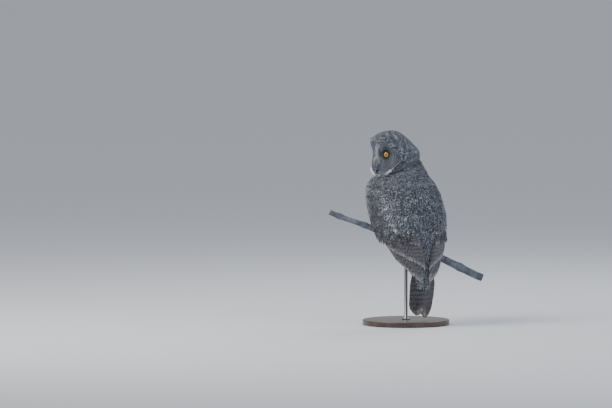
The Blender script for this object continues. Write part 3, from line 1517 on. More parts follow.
@dataclass(frozen=True)
class FootForm:
    """A foot's place on the branch and the curl of its toes."""

    side: Side
    stance: float = 0.036
    toe_radius: float = 0.0075
    toe_end: float = 0.0052
    spreads: tuple[float, ...] = (-24, 14, 166, 204)
    leg_top: float = 0.026
    leg_foot: float = 0.0135

    def frame(self) -> tuple[Array, Array, Array, Array]:
        """The point of the axis under the foot, the branch's way, level ahead, and up."""
        path = BOUGH.axis(self.side.value * self.stance + np.array([-0.002, 0.0, 0.002]))
        way = unit(path[2] - path[0])
        ahead = unit(-np.cross([0.0, 0.0, 1.0], way))
        ahead = -ahead if ahead[1] > 0 else ahead
        up = np.cross(way, ahead)
        return path[1], way, ahead, up * np.sign(up[2])

    def toe(self, spread: float, angle: Array, thick: float) -> tuple[Array, Array, Array]:
        """A toe's axis at angles from the foot's top down the branch.

        Args:
            spread: The toe's direction in degrees from straight ahead.
            angle: Angles about the branch.
            thick: The toe's radius, which sets how far its axis stands off the bark.

        Returns:
            Points of the axis, and two directions square to it at each.
        """
        centre, way, ahead, up = self.frame()
        off = BOUGH.radius(self.side.value * self.stance) + thick + 0.0012
        ahead = ahead if abs(spread) < 90 else -ahead
        drift = math.sin(math.radians(spread)) * 0.030 / 1.6
        cos, sin = np.cos(angle)[..., None], np.sin(angle)[..., None]
        path = centre + off * (cos * up + sin * ahead) + way * drift * angle[..., None]
        tangent = unit(off * (cos * ahead - sin * up) + way * drift)
        first = unit(way - tangent * (tangent @ way)[..., None])
        return path, first, np.cross(tangent, first)

    def toe_thick(self, angle: Array) -> Array:
        """A toe's radius at angles down the branch."""
        return np.interp(angle, (0.1, 1.47), (self.toe_radius, self.toe_end))

    def leg_axis(self) -> tuple[Array, Array]:
        """The ankle and the point inside the belly where the leg ends."""
        centre, _, _, up = self.frame()
        sole = BOUGH.radius(self.side.value * self.stance) + 0.0115
        hip = np.array([self.side.value * 0.044, 0.006, PERCH_Z + 0.085]) + SHIFT
        return centre + up * (sole - 0.004), hip

    def leg_radius(self, share: Array) -> Array:
        """The feathered leg's radius from ankle to hip."""
        return self.leg_foot + (self.leg_top - self.leg_foot) * smooth(share, 0, 0.9)


@dataclass
class Skin:
    """One closed skin under the whole coat, from the head to the toes."""

    finish: SkinFinish = SkinFinish()
    body_depth: float = 0.012
    head_depth: float = 0.0045
    leg_depth: float = 0.0030
    voxel: float = 0.0023

    def trunk(self) -> bpy.types.Object:
        """The trunk's core, closed wings included."""
        z, turns = np.meshgrid(np.linspace(-0.140, 0.296, 90), circle(96), indexing="ij")
        radius = TRUNK.whole(z, turns)
        depth = np.minimum(self.body_depth, 0.32 * radius)
        return closed_tube("skin_trunk", TRUNK.place(z, turns, radius - depth))

    def head(self) -> bpy.types.Object:
        """The head's core, dished under the facial disc."""
        polar, turns = np.meshgrid(np.radians(np.linspace(2, 178, 96)), circle(128),
                                   indexing="ij")
        way = HEAD.direction(polar, turns)
        face = smooth(way[..., 0], 0.3, 0.7)
        return closed_tube("skin_head", HEAD.surface(way, 0.0032 * face - self.head_depth))

    def limbs(self) -> list[bpy.types.Object]:
        """Legs and toes.

        Returns:
            Closed tubes for the skin to take in.
        """
        made, turns, east, north = [], circle(24), *np.eye(3)[:2]
        shares, angles = np.linspace(0, 1, 14)[:, None], np.linspace(-0.1, 1.47, 14)
        for side in Side:
            foot = FootForm(side)
            ankle, hip = foot.leg_axis()
            axis = ankle * (1 - shares) + hip * shares
            radius = (foot.leg_radius(shares) - self.leg_depth)[..., None]
            made.append(closed_tube(
                "skin_leg", axis[:, None] + radius * spun(turns, east[None], north[None])))
            for spread in foot.spreads:
                path, first, second = foot.toe(spread, angles, foot.toe_radius)
                thick = (foot.toe_thick(angles) - 0.0012) * (1 - 0.35 * smooth(angles, 1.36, 1.47))
                made.append(closed_tube("skin_toe", path[:, None] + thick[:, None, None]
                                        * spun(turns, first, second)))
        return made

    def tones(self, points: Array) -> Array:
        """The coat's own colours at the skin's points."""
        z = points[:, 2] - PERCH_Z
        trunk = blend(np.tile(tone("#5b606b"), (len(points), 1)), "#858c99",
                      smooth(STAND_Y - points[:, 1], 0.0, 0.06))
        trunk = trunk * (1 - 0.4 * smooth(-z, 0.0, 0.04)[:, None])
        near = np.linalg.norm(HEAD.parts(points), axis=1)
        return blend(trunk, "#656c79", 1 - smooth(near, 0.090, 0.105))

    def build(self) -> None:
        """Joins the forms, melts them into one surface and dresses it."""
        pieces = [self.trunk(), self.head(), *self.limbs()]
        skin = pieces[0]
        work = bmesh.new()
        for piece in pieces:
            work.from_mesh(piece.data)
        work.to_mesh(skin.data)
        work.free()
        for piece in pieces[1:]:
            bpy.data.objects.remove(piece)
        skin.name = "skin"
        melt = skin.modifiers.new("melt", "REMESH")
        melt.mode, melt.voxel_size = "VOXEL", self.voxel
        ease = skin.modifiers.new("ease", "SMOOTH")
        ease.factor, ease.iterations = 0.5, 4
        mesh = plain_mesh(skin).data
        write(skin, "Ground", self.tones(coordinates(skin)))
        mesh.polygons.foreach_set("use_smooth", np.ones(len(mesh.polygons), bool))
        mesh.materials.clear()
        mesh.materials.append(self.finish.material())
        LOG.info("skin: %d faces", len(mesh.polygons))
        settle(skin, "plumage", "head", "neck", "torso", "tail", "wing_left", "wing_right",
               "leg_left", "leg_right", "foot_left", "foot_right")


@dataclass
class LegCoat:
    """Short soft feathers of legs and toes, down to the claws."""

    finish: FeatherFinish = FeatherFinish("leg_down", bar_mm=5.0, streak_half=0.2,
                                          edge="#dde1e8", mottle_mm=2.0, mottle=0.4,
                                          roughness=0.9)

    def leg(self, foot: FootForm) -> Tract:
        """Down that hangs along the leg.

        Args:
            foot: The foot that the leg ends in.

        Returns:
            The down.
        """
        dice = np.random.default_rng(71 + foot.side.value)
        ankle, hip = foot.leg_axis()
        axis, count = hip - ankle, 620
        share, turn = dice.uniform(0.04, 1.0, count), dice.uniform(0, 2 * math.pi, count)

        def place(u: Array, v: Array) -> Array:
            """Points round the leg: radians about it and a share of its length."""
            along, angle = share[:, None] + v * 10, turn[:, None] + u
            ring = spun(angle, np.eye(3)[:1], np.eye(3)[1:2])
            return ankle + axis * along[..., None] + foot.leg_radius(along)[..., None] * ring

        ground = tone("#8b919c") * dice.normal(1, 0.12, count)[:, None]
        marks = strengths(dice, (0.5, 0.2, 0.7), 0.2, count)
        return Tract(place, np.tile(-axis, (count, 1)), dice.normal(11.5, 1.2, count) * MM,
                     2.6 * MM, np.stack([turn / 6.2832, share], axis=1), ground, marks,
                     Outline.POINTED, sunk=-0.0020, rise=0.0012, dome=0.0005, seed=72)

    def toe(self, foot: FootForm, spread: float, seed: int) -> Tract:
        """Tiny tufts along one toe, which point to its claw.

        Args:
            foot: The foot that has the toe.
            spread: The toe's turn from straight ahead.
            seed: Where its random draws start.

        Returns:
            The tufts.
        """
        dice, count, hand = np.random.default_rng(seed), 210, 1.0
        start, turn = dice.uniform(-0.15, 1.30, count), dice.uniform(0, 2 * math.pi, count)

        def place(u: Array, v: Array) -> Array:
            """Points round the toe: radians about it and about the branch."""
            angle, around = start[:, None] + v, (turn[:, None] + hand * u)[..., None]
            path, first, second = foot.toe(spread, angle, foot.toe_radius)
            thick = (foot.toe_thick(angle) - 0.0002)[..., None]
            return path + thick * (np.cos(around) * first + np.sin(around) * second)

        zero, step = np.zeros((count, 1)), np.full((count, 1), 1e-4)
        root = place(zero, zero)[:, 0]
        lie = place(zero, step)[:, 0] - root
        normal = np.cross(place(step, zero)[:, 0] - root, lie)
        if np.sum(normal * (root - foot.toe(spread, start, foot.toe_radius)[0])) < 0:
            hand = -1.0
        lie = place(zero, step)[:, 0] - root
        ground = tone("#8f949e") * dice.normal(1, 0.12, count)[:, None]
        marks = strengths(dice, (0.5, 0.1, 0.6), 0.2, count)
        return Tract(place, unit(lie), dice.normal(5.2, 0.5, count) * MM, 1.35 * MM,
                     np.stack([turn / 6.2832, start / 1.6], axis=1), ground, marks,
                     Outline.POINTED, sunk=-0.0012, rise=0.0004, dome=0.0003, thick=0.0002,
                     splay=0.0003, seed=seed)

    def build(self) -> None:
        """Builds and dresses the legs' and feet's coat."""
        material = self.finish.material()
        for side in Side:
            foot = FootForm(side)
            tracts = [self.leg(foot), *(self.toe(foot, spread, 80 + k + 10 * side.value)
                                        for k, spread in enumerate(foot.spreads))]
            settle(plumage(f"leg_down_{side.word}", tracts, material), "down")


@dataclass(frozen=True)
class EyeFinish:
    """A living eye: wet clear cornea over a yellow iris and a black pupil."""

    name: str = "wet_eye"
    iris: str = "#f4cf2e"
    iris_inner: str = "#d9a417"
    pupil: float = 0.40
    limbus: float = 0.88

    def material(self) -> bpy.types.Material:
        """Builds the material from the eye's Gaze attribute, 0 in the pupil's middle to 1.

        Returns:
            The eye's material. Its clear coat gives a sharp wet highlight.
        """
        made, add = start(self.name, Roughness=0.35, Coat_Weight=1.0, Coat_Roughness=0.02,
                           Coat_IOR=1.38)
        gaze = add("Attribute:Gaze", out="Fac")
        turn = add("Attribute:Turn", out="Vector")
        fibre = add("TexNoise", Vector=turn, Scale=9.0, Detail=3.0)
        ring = add("MapRange:SMOOTHSTEP", gaze, self.pupil, 0.75)
        iris = add("Mix:RGBA", ring, linear(self.iris_inner), linear(self.iris))
        grain = add("MapRange", fibre, 0.3, 0.7, 0.82, 1.15)
        iris = add("VectorMath:SCALE", iris, grain)
        outer = add("MapRange:SMOOTHSTEP", gaze, self.limbus, 1.0)
        eye = add("Mix:RGBA", outer, iris, linear("#15120c"))
        edge = self.pupil
        inner = add("MapRange:SMOOTHSTEP", gaze, edge - 0.03, edge + 0.02, 1.0, 0.0)
        eye = add("Mix:RGBA", inner, eye, linear("#030304"))
        return finished(made, eye)


@dataclass(frozen=True)
class HornFinish:
    """Keratin of bill or claw: hard and smooth, with faint growth lines and a worn tip."""

    name: str
    pale: str
    dark: str
    roughness: float
    line_mm: float = 2.2

    def material(self) -> bpy.types.Material:
        """Builds the material from Object coordinates.

        Returns:
            The horn's material. A thin coat gives the low polish of worn keratin.
        """
        made, add = start(self.name, Roughness=self.roughness, Coat_Weight=0.25,
                           Coat_Roughness=0.25)
        spot = add("TexCoord")
        cloud = add("TexNoise", Vector=spot, Scale=1 / (5.0 * MM), Detail=3.0)
        lines = add("TexWave", Vector=spot, Scale=1 / (self.line_mm * MM) / 6.28,
                    Distortion=2.5, bands_direction="Z", out="Fac")
        mixed = add("MapRange", cloud, 0.35, 0.68)
        colour = add("Mix:RGBA", mixed, linear(self.pale), linear(self.dark))
        grain = add("MapRange", lines, 0.0, 1.0, 0.88, 1.06)
        final = add("VectorMath:SCALE", colour, grain)
        return finished(made, final, lines, 0.2, 0.2)


@dataclass
class Eyes:
    """Eyeballs, each with a low corneal dome, and the two lids round each."""

    finish: EyeFinish = EyeFinish()
    lid_finish: HornFinish = HornFinish("lid_skin", "#23252b", "#15161a", 0.55, 1.2)
    iris_angle: float = math.radians(42)
    lid_wide: float = 0.0083
    lid_tall: float = 0.0078
    lid_thickness: float = 0.0016

    def cap(self, side: Side, radius: Array, polar: Array, turns: Array) -> Array:
        """Points about an eye by distance, angle from its look and turn, row by row."""
        middle, look = HEAD.eye(side)
        across = unit(np.cross([0.0, 0.0, 1.0], look))
        polar, radius = polar[..., None], radius[:, None, None]
        round_it = spun(turns, across[None], np.cross(look, across)[None])
        return middle + radius * (np.cos(polar) * look + np.sin(polar) * round_it)

    def ball(self, side: Side) -> bpy.types.Object:
        """The eyeball, with its gaze and turn written on its points.

        Args:
            side: Which eye.

        Returns:
            The ball, not yet dressed.
        """
        turns = circle(64)
        polar = np.concatenate([np.linspace(0.02, self.iris_angle, 18),
                                np.linspace(self.iris_angle, 3.12, 30)[1:]])
        radius = HEAD.eye_radius - 0.0004 + 0.0006 * np.exp(-((polar / 0.42) ** 2))
        obj = closed_tube(f"eyeball_{side.word}", self.cap(side, radius, polar[:, None], turns))
        swirl = np.stack([np.tile(np.cos(turns), len(polar)), np.tile(np.sin(turns), len(polar)),
                          np.repeat(polar, 64) * 0.4], axis=1)
        write(obj, "Gaze", np.append(np.clip(np.repeat(polar / self.iris_angle, 64), 0, 2),
                                     [0.0, 2.0]))
        write(obj, "Turn", np.concatenate([swirl, np.zeros((2, 3))]))
        return obj

    def lids(self, side: Side) -> bpy.types.Object:
        """A thin fleshy ring round the opening, pulled to a slight corner at the front.

        Args:
            side: Which eye.

        Returns:
            Both lids as one ring, not yet dressed.
        """
        turns = circle(72)
        inner, outer = HEAD.eye_radius + 0.0001, HEAD.eye_radius + self.lid_thickness
        opening = np.arcsin(np.hypot(self.lid_wide * np.cos(turns),
                                     self.lid_tall * np.sin(turns)) / inner)
        radius, back = np.transpose([
            (inner, 0.33), (inner, 0.15), (inner, 0.03), (inner + 0.0002, 0.0),
            ((inner + outer) / 2 + 0.0002, -0.02), (outer, 0.02), (outer + 0.0001, 0.07),
            (outer - 0.0002, 0.13), (outer - 0.0006, 0.24), (inner + 0.0004, 0.34)])
        points = self.cap(side, radius, opening + back[:, None], turns)
        rows, count = points.shape[:2]
        points = points.reshape(-1, 3)
        k, j = np.meshgrid(np.arange(rows), np.arange(count), indexing="ij")
        a, b = k * count + j, k * count + (j + 1) % count
        c, d = (b + count) % len(points), (a + count) % len(points)
        faces = np.stack([a, b, c, a, c, d], axis=-1).reshape(-1, 3)
        p, q, r = (points[faces[:, n]] - HEAD.eye(side)[0] for n in range(3))
        if np.sum(p * np.cross(q, r)) < 0:
            faces = faces[:, ::-1]
        return mesh_object(f"eyelids_{side.word}", points, faces)

    def build(self) -> None:
        """Builds and dresses eyes and lids."""
        wet, fleshy = self.finish.material(), self.lid_finish.material()
        for side in Side:
            settle(self.ball(side), "eye", f"eye_{side.word}", material=wet)
            settle(self.lids(side), "plumage", material=fleshy)


@dataclass
class Bill:
    """The short hooked bill in its two halves, with nostrils and bristles at its base.

    Stations give forward and up from the head's centre, half width and half depth.
    """

    upper: tuple[tuple[float, ...], ...] = (
        (0.058, -0.006, 0.0072, 0.0085), (0.0700, -0.012, 0.0073, 0.0080),
        (0.0765, -0.020, 0.0062, 0.0062), (0.0785, -0.029, 0.0041, 0.0042),
        (0.0765, -0.0365, 0.0020, 0.0021), (0.0742, -0.0405, 0.0005, 0.0006))
    lower: tuple[tuple[float, ...], ...] = (
        (0.057, -0.0265, 0.0058, 0.0038), (0.066, -0.0302, 0.0050, 0.0032),
        (0.0716, -0.0345, 0.0030, 0.0018), (0.0736, -0.0368, 0.0008, 0.0006))
    horn: HornFinish = HornFinish("bill_horn", "#8d8c80", "#66645a", 0.40)

    def half(self, name: str, stations: tuple, keel: float) -> bpy.types.Object:
        """One half of the bill, as a smooth loft with a low keel along its ridge.

        Args:
            name: Name of the piece.
            stations: Forward, up, half width and half depth of each.
            keel: Height of the keel as a share of the depth.

        Returns:
            The half, not yet dressed.
        """
        table = np.array(stations)
        knots = walked(table[:, :2])
        along = np.linspace(0, knots[-1], 40)
        ahead, up, wide, deep = (spline(np.column_stack([knots, row]), 1, along)[:, None]
                                 for row in table.T)
        run, rise = unit(np.gradient(np.hstack([ahead, up]), axis=0)).T[..., None]
        turns = circle(40)
        ridge = 1 + keel * np.exp(-((np.angle(np.exp(1j * turns)) / 0.35) ** 2))
        out = deep * np.cos(turns) * ridge
        aside = wide * np.sin(turns) * (1 - 0.08 * np.cos(turns) ** 2)
        return closed_tube(name, HEAD.space(np.stack(
            [ahead - rise * out, aside, up + run * out], axis=-1)))

    def nostrils(self, bill: bpy.types.Object) -> None:
        """Sinks a small oval pit into each side of the upper half near its base."""
        parts = HEAD.parts(coordinates(bill).astype(float))
        for side in Side:
            off = parts - np.array([0.0728, side.value * 0.0064, -0.0150])
            pit = np.exp(-((off[:, 0] / 0.0022) ** 2 + (off[:, 2] / 0.0016) ** 2))
            parts[:, 1] -= side.value * 0.0022 * pit * (np.sign(parts[:, 1]) == side.value)
        bill.data.vertices.foreach_set("co", HEAD.space(parts).astype(np.float32).ravel())

    def build(self) -> None:
        """Builds and dresses both halves."""
        material = self.horn.material()
        upper = self.half("bill_top", self.upper, 0.10)
        self.nostrils(upper)
        settle(upper, "bill", "bill_upper", material=material)
        settle(self.half("bill_foot", self.lower, 0), "bill", "bill_lower", material=material)


@dataclass
class Claws:
    """Eight black claws that curl round the branch."""

    horn: HornFinish = HornFinish("claw_horn", "#2b2a2d", "#141316", 0.32, 3.0)
    thick: float = 0.0036
    end: float = 0.0004

    def build(self) -> None:
        """Builds and dresses every claw."""
        material = self.horn.material()
        radius = between((self.thick, self.end), np.linspace(0, 1, 26) ** 0.85)
        for side in Side:
            foot = FootForm(side)
            for k, spread in enumerate(foot.spreads):
                path, first, second = foot.toe(spread, np.linspace(1.34, 2.45, 26), self.thick)
                rings = (path[:, None]
                         + radius[:, None, None] * spun(circle(24), 0.86 * first, second))
                settle(closed_tube(f"talon_{side.word}_{k + 1}", rings), "claw",
                       f"claw_{side.word}_{k + 1}", material=material)


@dataclass(frozen=True)
class BarkFinish:
    """Thin grey bark of a dead branch: fine cracks along it, pale worn ridges, dark scars."""

    name: str = "weathered_bark"
    pale: str = "#7c838e"
    mid: str = "#5b606b"
    dark: str = "#30333b"
    crack_mm: float = 2.6

    def material(self) -> bpy.types.Material:
        """Builds the material from the branch's own map: round it and along it in metres.

        Returns:
            The bark's material. It is dry and matt, and streaked along the grain.
        """
        made, add = start(self.name, Roughness=0.88)
        grainway = add("UVMap:Bark")
        spot = add("TexCoord")
        stretched = add("Mapping", Vector=grainway, Scale=(1.0, 0.16, 1.0))
        cracks = add("TexNoise", Vector=stretched, Scale=1 / (self.crack_mm * MM),
                     Detail=4.0, Roughness=0.62)
        cloud = add("TexNoise", Vector=spot, Scale=1 / (28 * MM), Detail=3.0)
        worn = add("MapRange:SMOOTHSTEP", cloud, 0.38, 0.66)
        base = add("Mix:RGBA", worn, linear(self.mid), linear(self.pale))
        deep = add("MapRange:SMOOTHSTEP", cracks, 0.47, 0.36, 0.0, 0.8)
        bark = add("Mix:RGBA", deep, base, linear(self.dark))
        return finished(made, bark, cracks, 0.6, 0.9)


@dataclass(frozen=True)
class WoodEndFinish:
    """Sawn end grain: pale dry wood with close rings and a few radial checks."""

    name: str = "sawn_end_grain"
    pale: str = "#c9b690"
    dark: str = "#94784f"
    ring_mm: float = 1.6

    def material(self, middle: Array) -> bpy.types.Material:
        """Builds the material round a cut's middle.

        Args:
            middle: The cut's middle.

        Returns:
            The end grain's material.
        """
        made, add = start(self.name, Roughness=0.8)
        spot = add("TexCoord")
        off = add("VectorMath:DISTANCE", spot, tuple(middle))
        fine = add("TexNoise", Vector=spot, Scale=1 / (4 * MM), Detail=3.0)
        turn = add("Math:MULTIPLY", off, 2 * math.pi / (self.ring_mm * MM))
        rough = add("Math:MULTIPLY_ADD", fine, 3.0, turn)
        wave = add("Math:SINE", rough)
        rings = add("MapRange", wave, -1.0, 1.0)
        wood = add("Mix:RGBA", rings, linear(self.pale), linear(self.dark))
        return finished(made, wood, wave, 0.3, 0.3)


@dataclass
class Perch:
    """The cut branch: lumpy bark with knots, sawn ends and small raised pores."""

    bark: BarkFinish = BarkFinish()
    end_grain: WoodEndFinish = WoodEndFinish()
    rings: int = 420
    sides: int = 56
    pore_density: float = 3600.0
    pore_radius: float = 0.0010

    def relief(self, along: Array, turn: Array) -> Array:
        """The bark's radius as a share of the branch's, by place along and round it."""
        lumps = 0.05 * np.sin(3 * turn + 40 * along) + 0.04 * np.sin(2 * turn - 25 * along)
        furrow = np.sin(9 * turn + 6 * np.sin(31 * along) + 11 * along)
        furrow = furrow * np.sin(14 * turn - 5 * np.sin(23 * along + 1.3))
        fine = np.sin(23 * turn + 260 * along) * np.sin(17 * turn - 410 * along)
        return 1 + lumps - 0.028 * np.abs(furrow) + 0.010 * fine

    def build_branch(self) -> bpy.types.Object:
        """Lofts the branch and writes its Bark map.

        Returns:
            The branch, with bark on its side and end grain on its cuts.
        """
        along = np.linspace(-BOUGH.half, BOUGH.half, self.rings)
        path = BOUGH.axis(along)
        aside, above = BOUGH.frame(path)
        turn = circle(self.sides)
        grid_along, grid_turn = np.meshgrid(along, turn, indexing="ij")
        radius = BOUGH.radius(along)[:, None] * self.relief(grid_along, grid_turn)
        edge = smooth(BOUGH.half - np.abs(along), -0.0004, 0.0015)[:, None]
        radius = radius * (0.93 + 0.07 * edge)
        obj = closed_tube("bark_branch",
                          path[:, None] + radius[..., None] * spun(turn, aside, above))
        mesh = obj.data
        mean = float(BOUGH.mid_radius)
        flat_turn = np.append(grid_turn.ravel(), [0, 0]) * mean
        flat_along = np.append(grid_along.ravel(), [-BOUGH.half, BOUGH.half])
        corners = np.empty(len(mesh.loops), np.int32)
        mesh.loops.foreach_get("vertex_index", corners)
        u, v = flat_turn[corners].reshape(-1, 3), flat_along[corners]
        wrap = 2 * math.pi * mean
        u = np.where((u.max(axis=1, keepdims=True) - u) > wrap / 2, u + wrap, u)
        write(obj, "Bark", np.stack([u.ravel(), v], axis=1))
        mesh.materials.append(self.bark.material())
        for end in (0, -1):
            mesh.materials.append(self.end_grain.material(path[end]))
        walls = 2 * (self.rings - 1) * self.sides
        slots = np.zeros(len(mesh.polygons), np.int32)
        slots[walls:walls + self.sides] = 1
        slots[walls + self.sides:] = 2
        mesh.polygons.foreach_set("material_index", slots)
        flat = np.ones(len(mesh.polygons), bool)
        flat[walls:] = False
        mesh.polygons.foreach_set("use_smooth", flat)
        return obj

    def pore_tree(self, material: bpy.types.Material) -> bpy.types.NodeTree:
        """Geometry nodes that set small flattened beads on a branch's bark.

        Args:
            material: What the beads are made of.

        Returns:
            The node tree, with its sizes as named inputs.
        """
        tree = bpy.data.node_groups.new("bark_pores", "GeometryNodeTree")
        add = partial(add_node, tree)
        for name, way, kind in (("Geometry", "INPUT", "Geometry"), ("Density", "INPUT", "Float"),
                                ("Bead radius", "INPUT", "Float"), ("Seed", "INPUT", "Int"),
                                ("Geometry", "OUTPUT", "Geometry")):
            tree.interface.new_socket(name, in_out=way, socket_type=f"NodeSocket{kind}")
        given = add("NodeGroupInput").node.outputs
        strewn = add("GeometryNodeDistributePointsOnFaces", Mesh=given["Geometry"],
                     Density=given["Density"], Seed=given["Seed"])
        bead = add("GeometryNodeMeshIcoSphere", Radius=given["Bead radius"], Subdivisions=2,
                   out="Mesh")
        size = add("FunctionNodeRandomValue", Seed=given["Seed"], data_type="FLOAT_VECTOR")
        size.node.inputs[0].default_value = (0.8, 0.5, 0.2)
        size.node.inputs[1].default_value = (1.9, 0.9, 0.38)
        set_on = add("GeometryNodeInstanceOnPoints", Points=strewn.node.outputs["Points"],
                     Instance=bead, Rotation=strewn.node.outputs["Rotation"], Scale=size)
        real = add("GeometryNodeRealizeInstances", set_on)
        dressed = add("GeometryNodeSetMaterial", Geometry=real, Material=material)
        add("NodeGroupOutput", dressed)
        return tree

    def build_pores(self, branch: bpy.types.Object) -> bpy.types.Object:
        """Sets the pores on the bark and returns them as one plain mesh.

        Args:
            branch: The finished branch.

        Returns:
            The pores.
        """
        pores = bpy.data.objects.new("bark_pores", branch.data.copy())
        bpy.context.scene.collection.objects.link(pores)
        tree = self.pore_tree(HornFinish("cork_pore", "#7d7a74", "#4a4844", 0.9).material())
        modifier = pores.modifiers.new("pores", "NODES")
        modifier.node_group = tree
        sizes = {"Density": self.pore_density, "Bead radius": self.pore_radius, "Seed": 5}
        for item in tree.interface.items_tree:
            if item.in_out == "INPUT" and item.name in sizes:
                modifier[item.identifier] = sizes[item.name]
        return plain_mesh(pores)

    def build(self) -> None:
        """Builds and dresses the branch."""
        branch = self.build_branch()
        pores = self.build_pores(branch)
        settle(branch, "bark", "perch_branch")
        settle(pores, "bark")


@dataclass(frozen=True)
class SteelFinish:
    """Satin stainless steel rod, brushed round, which draws long soft highlights."""

    name: str = "satin_steel"
    roughness: float = 0.30
    pale: str = "#b4b6ba"
    dark: str = "#8e9094"

    def material(self) -> bpy.types.Material:
        """Builds the material from Object coordinates."""
        made, add = start(self.name, Roughness=self.roughness, Metallic=1.0)
        squashed = add("Mapping", Vector=add("TexCoord"), Scale=(60.0, 60.0, 2600.0))
        brush = add("TexNoise", Vector=squashed, Scale=1.0, Detail=2.0)
        tint = add("Mix:RGBA", brush, linear(self.dark), linear(self.pale))
        return finished(made, tint, brush, 0.15, 0.1)


@dataclass(frozen=True)
class LacquerFinish:
    """Dark stained oak under satin lacquer: straight open grain and a soft sheen."""

    name: str = "lacquered_oak"
    roughness: float = 0.42
    grain_mm: float = 3.5
    pale: str = "#5b4738"
    dark: str = "#2a211c"

    def material(self) -> bpy.types.Material:
        """Builds the material from Object coordinates, with the grain along X.

        Returns:
            The wood's material.
        """
        made, add = start(self.name, Roughness=self.roughness, Coat_Weight=0.35,
                          Coat_Roughness=0.18)
        drawn = add("Mapping", Vector=add("TexCoord"), Scale=(0.07, 1.0, 1.0))
        grain = add("TexNoise", Vector=drawn, Scale=1 / (self.grain_mm * MM), Detail=5.0,
                    Roughness=0.6)
        figure = add("TexNoise", Vector=drawn, Scale=1 / (30 * MM), Detail=2.0)
        share = add("MapRange", add("Math:MULTIPLY_ADD", figure, 0.5, grain), 0.55, 0.95)
        wood = add("Mix:RGBA", share, linear(self.dark), linear(self.pale))
        return finished(made, wood, grain, 0.12, 0.3)


@dataclass
class Stand:
    """The round base with its softened edges, and the rod with its collar."""

    steel: SteelFinish = SteelFinish()
    lacquer: LacquerFinish = LacquerFinish()
    radius: float = 0.150
    thickness: float = 0.018
    bevel: float = 0.0035
    rod_radius: float = 0.006
    sides: int = 160

    def turned(self, name: str, profile: list[tuple[float, float]]) -> bpy.types.Object:
        """A body turned about the stand's axis from radii and heights."""
        turns = circle(self.sides)
        ring = np.stack([np.cos(turns), np.sin(turns), np.zeros(self.sides)], axis=1)
        return closed_tube(name, np.array([radius * ring + [0, 0, z] + SHIFT
                                           for radius, z in profile]))

    def build(self) -> None:
        """Builds and dresses base and rod."""
        profile = [(0.02, 0.0), (self.radius - self.bevel, 0.0)]
        for k in range(7):
            a = math.pi / 2 * k / 6
            profile.append((self.radius - self.bevel * (1 - math.sin(a)),
                            self.bevel * (1 - math.cos(a))))
        for k in range(9):
            a = math.pi / 2 * k / 8
            profile.append((self.radius - self.bevel * (1 - math.cos(a)),
                            self.thickness - self.bevel * (1 - math.sin(a))))
        profile.append((0.02, self.thickness))
        base = self.turned("turned_base", profile)
        base.data.materials.append(self.lacquer.material())
        settle(base, "stand_wood", "stand_base")

        low = self.thickness
        top = PERCH_Z - float(BOUGH.mid_radius) * 0.6
        rod = self.turned("satin_rod", [
            (0.0135, low), (0.0140, low + 0.0006), (0.0140, low + 0.0040),
            (0.0132, low + 0.0048), (self.rod_radius + 0.001, low + 0.0052),
            (self.rod_radius, low + 0.0060), (self.rod_radius, top - 0.010),
            (self.rod_radius, top)])
        rod.data.materials.append(self.steel.material())
        settle(rod, "stand_metal", "stand_rod")


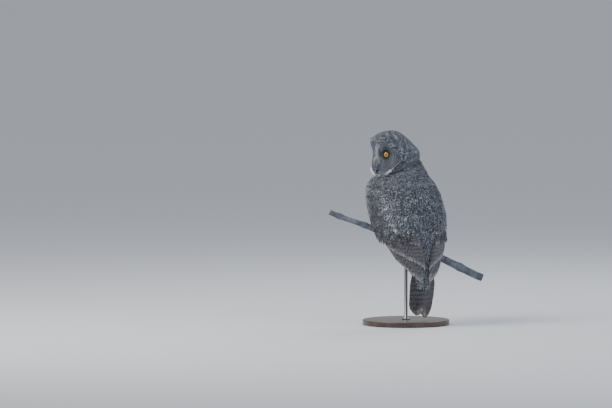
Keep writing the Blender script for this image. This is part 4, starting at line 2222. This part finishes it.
@dataclass
class Studio:
    """Pale floor, soft lights and the camera at the photograph's place."""

    azimuth: float = 145.0
    elevation: float = 4.0
    lens: float = 500.0
    sensor: float = 36.0
    image: tuple[int, int] = (612, 408)
    pixel: float = 3.45 * MM
    perch_pixel: tuple[float, float] = (406.0, 245.0)
    floor_half: float = 220.0

    def floor(self) -> None:
        """A wide pale matt floor under the stand."""
        corners = [(-1, -1, 0), (1, -1, 0), (1, 1, 0), (-1, 1, 0)]
        floor = mesh_object("floor", np.array(corners) * self.floor_half + SHIFT,
                            np.array([(0, 1, 2), (0, 2, 3)]))
        made, _ = start("pale_floor", Roughness=0.9, Base_Color=linear("#dde0e5"))
        floor.data.materials.append(made)

    def aimed(self, name: str, data: bpy.types.ID, azimuth: float, elevation: float,
              distance: float, aim: Array) -> bpy.types.Object:
        """A lamp or camera that looks at a point.

        Args:
            name: The object's name.
            data: The lamp or camera.
            azimuth: Degrees round the bird from its front towards its left.
            elevation: Degrees above the point.
            distance: How far off it stands.
            aim: The point.

        Returns:
            The object, in the scene.
        """
        a, e = math.radians(azimuth), math.radians(elevation)
        way = np.array([math.sin(a) * math.cos(e), -math.cos(a) * math.cos(e), math.sin(e)])
        obj = bpy.data.objects.new(name, data)
        obj.location = aim + distance * way
        obj.rotation_mode = "QUATERNION"
        obj.rotation_quaternion = Vector(tuple(-way)).to_track_quat("-Z", "Y")
        bpy.context.scene.collection.objects.link(obj)
        return obj

    def light(self, name: str, azimuth: float, elevation: float, distance: float, size: float,
              power: float, colour: str) -> None:
        """A round soft light that looks at the bird from a direction in degrees."""
        lamp = bpy.data.lights.new(name, "AREA")
        lamp.shape, lamp.size, lamp.energy = "DISK", size, power
        lamp.color = linear(colour)[:3]
        self.aimed(name, lamp, azimuth, elevation, distance, SHIFT + [0, 0, PERCH_Z + 0.08])

    def world(self) -> None:
        """A pale even sky that fills the shadows."""
        world = bpy.data.worlds.new("pale_room")
        world.use_nodes = True
        shade = world.node_tree.nodes["Background"]
        shade.inputs["Color"].default_value = linear("#e6ebf2")
        shade.inputs["Strength"].default_value = 0.62
        bpy.context.scene.world = world

    def camera(self) -> None:
        """The camera, far off with a long lens, so that the frame is the photograph's."""
        a, e = math.radians(self.azimuth), math.radians(self.elevation)
        right = np.array([math.cos(a), math.sin(a), 0.0])
        above = np.array([-math.sin(a) * math.sin(e), math.cos(a) * math.sin(e), math.cos(e)])
        aside = (self.image[0] / 2 - self.perch_pixel[0]) * self.pixel
        lift = (self.perch_pixel[1] - self.image[1] / 2) * self.pixel
        lens = bpy.data.cameras.new("camera")
        lens.lens, lens.sensor_width = self.lens, self.sensor
        lens.clip_start, lens.clip_end = 0.5, 1500.0
        bpy.context.scene.camera = self.aimed(
            "camera", lens, self.azimuth, self.elevation,
            self.image[0] * self.pixel * self.lens / self.sensor,
            SHIFT + [0, 0, PERCH_Z] + aside * right + lift * above)

    def build(self) -> None:
        """Sets up floor, lights, room and camera."""
        self.floor()
        self.world()
        self.light("key", 80, 48, 3.2, 1.8, 84, "#fff8ee")
        self.light("fill", 190, 25, 3.6, 2.6, 30, "#eaf1ff")
        self.light("rim", 300, 45, 3.0, 1.6, 26, "#f2f6ff")
        self.camera()


def main() -> None:
    """Builds the whole display in order."""
    logging.basicConfig(level=logging.INFO, format="%(name)s: %(message)s")
    Studio().build()
    for assembly in (Perch(), Stand(), Skin(), BodyCoat(), Wings(), Tail(), LegCoat(),
                     HeadCoat(), Eyes(), Bill(), Claws()):
        assembly.build()
        LOG.info("built %s", type(assembly).__name__.lower())


if __name__ == "__main__":
    main()
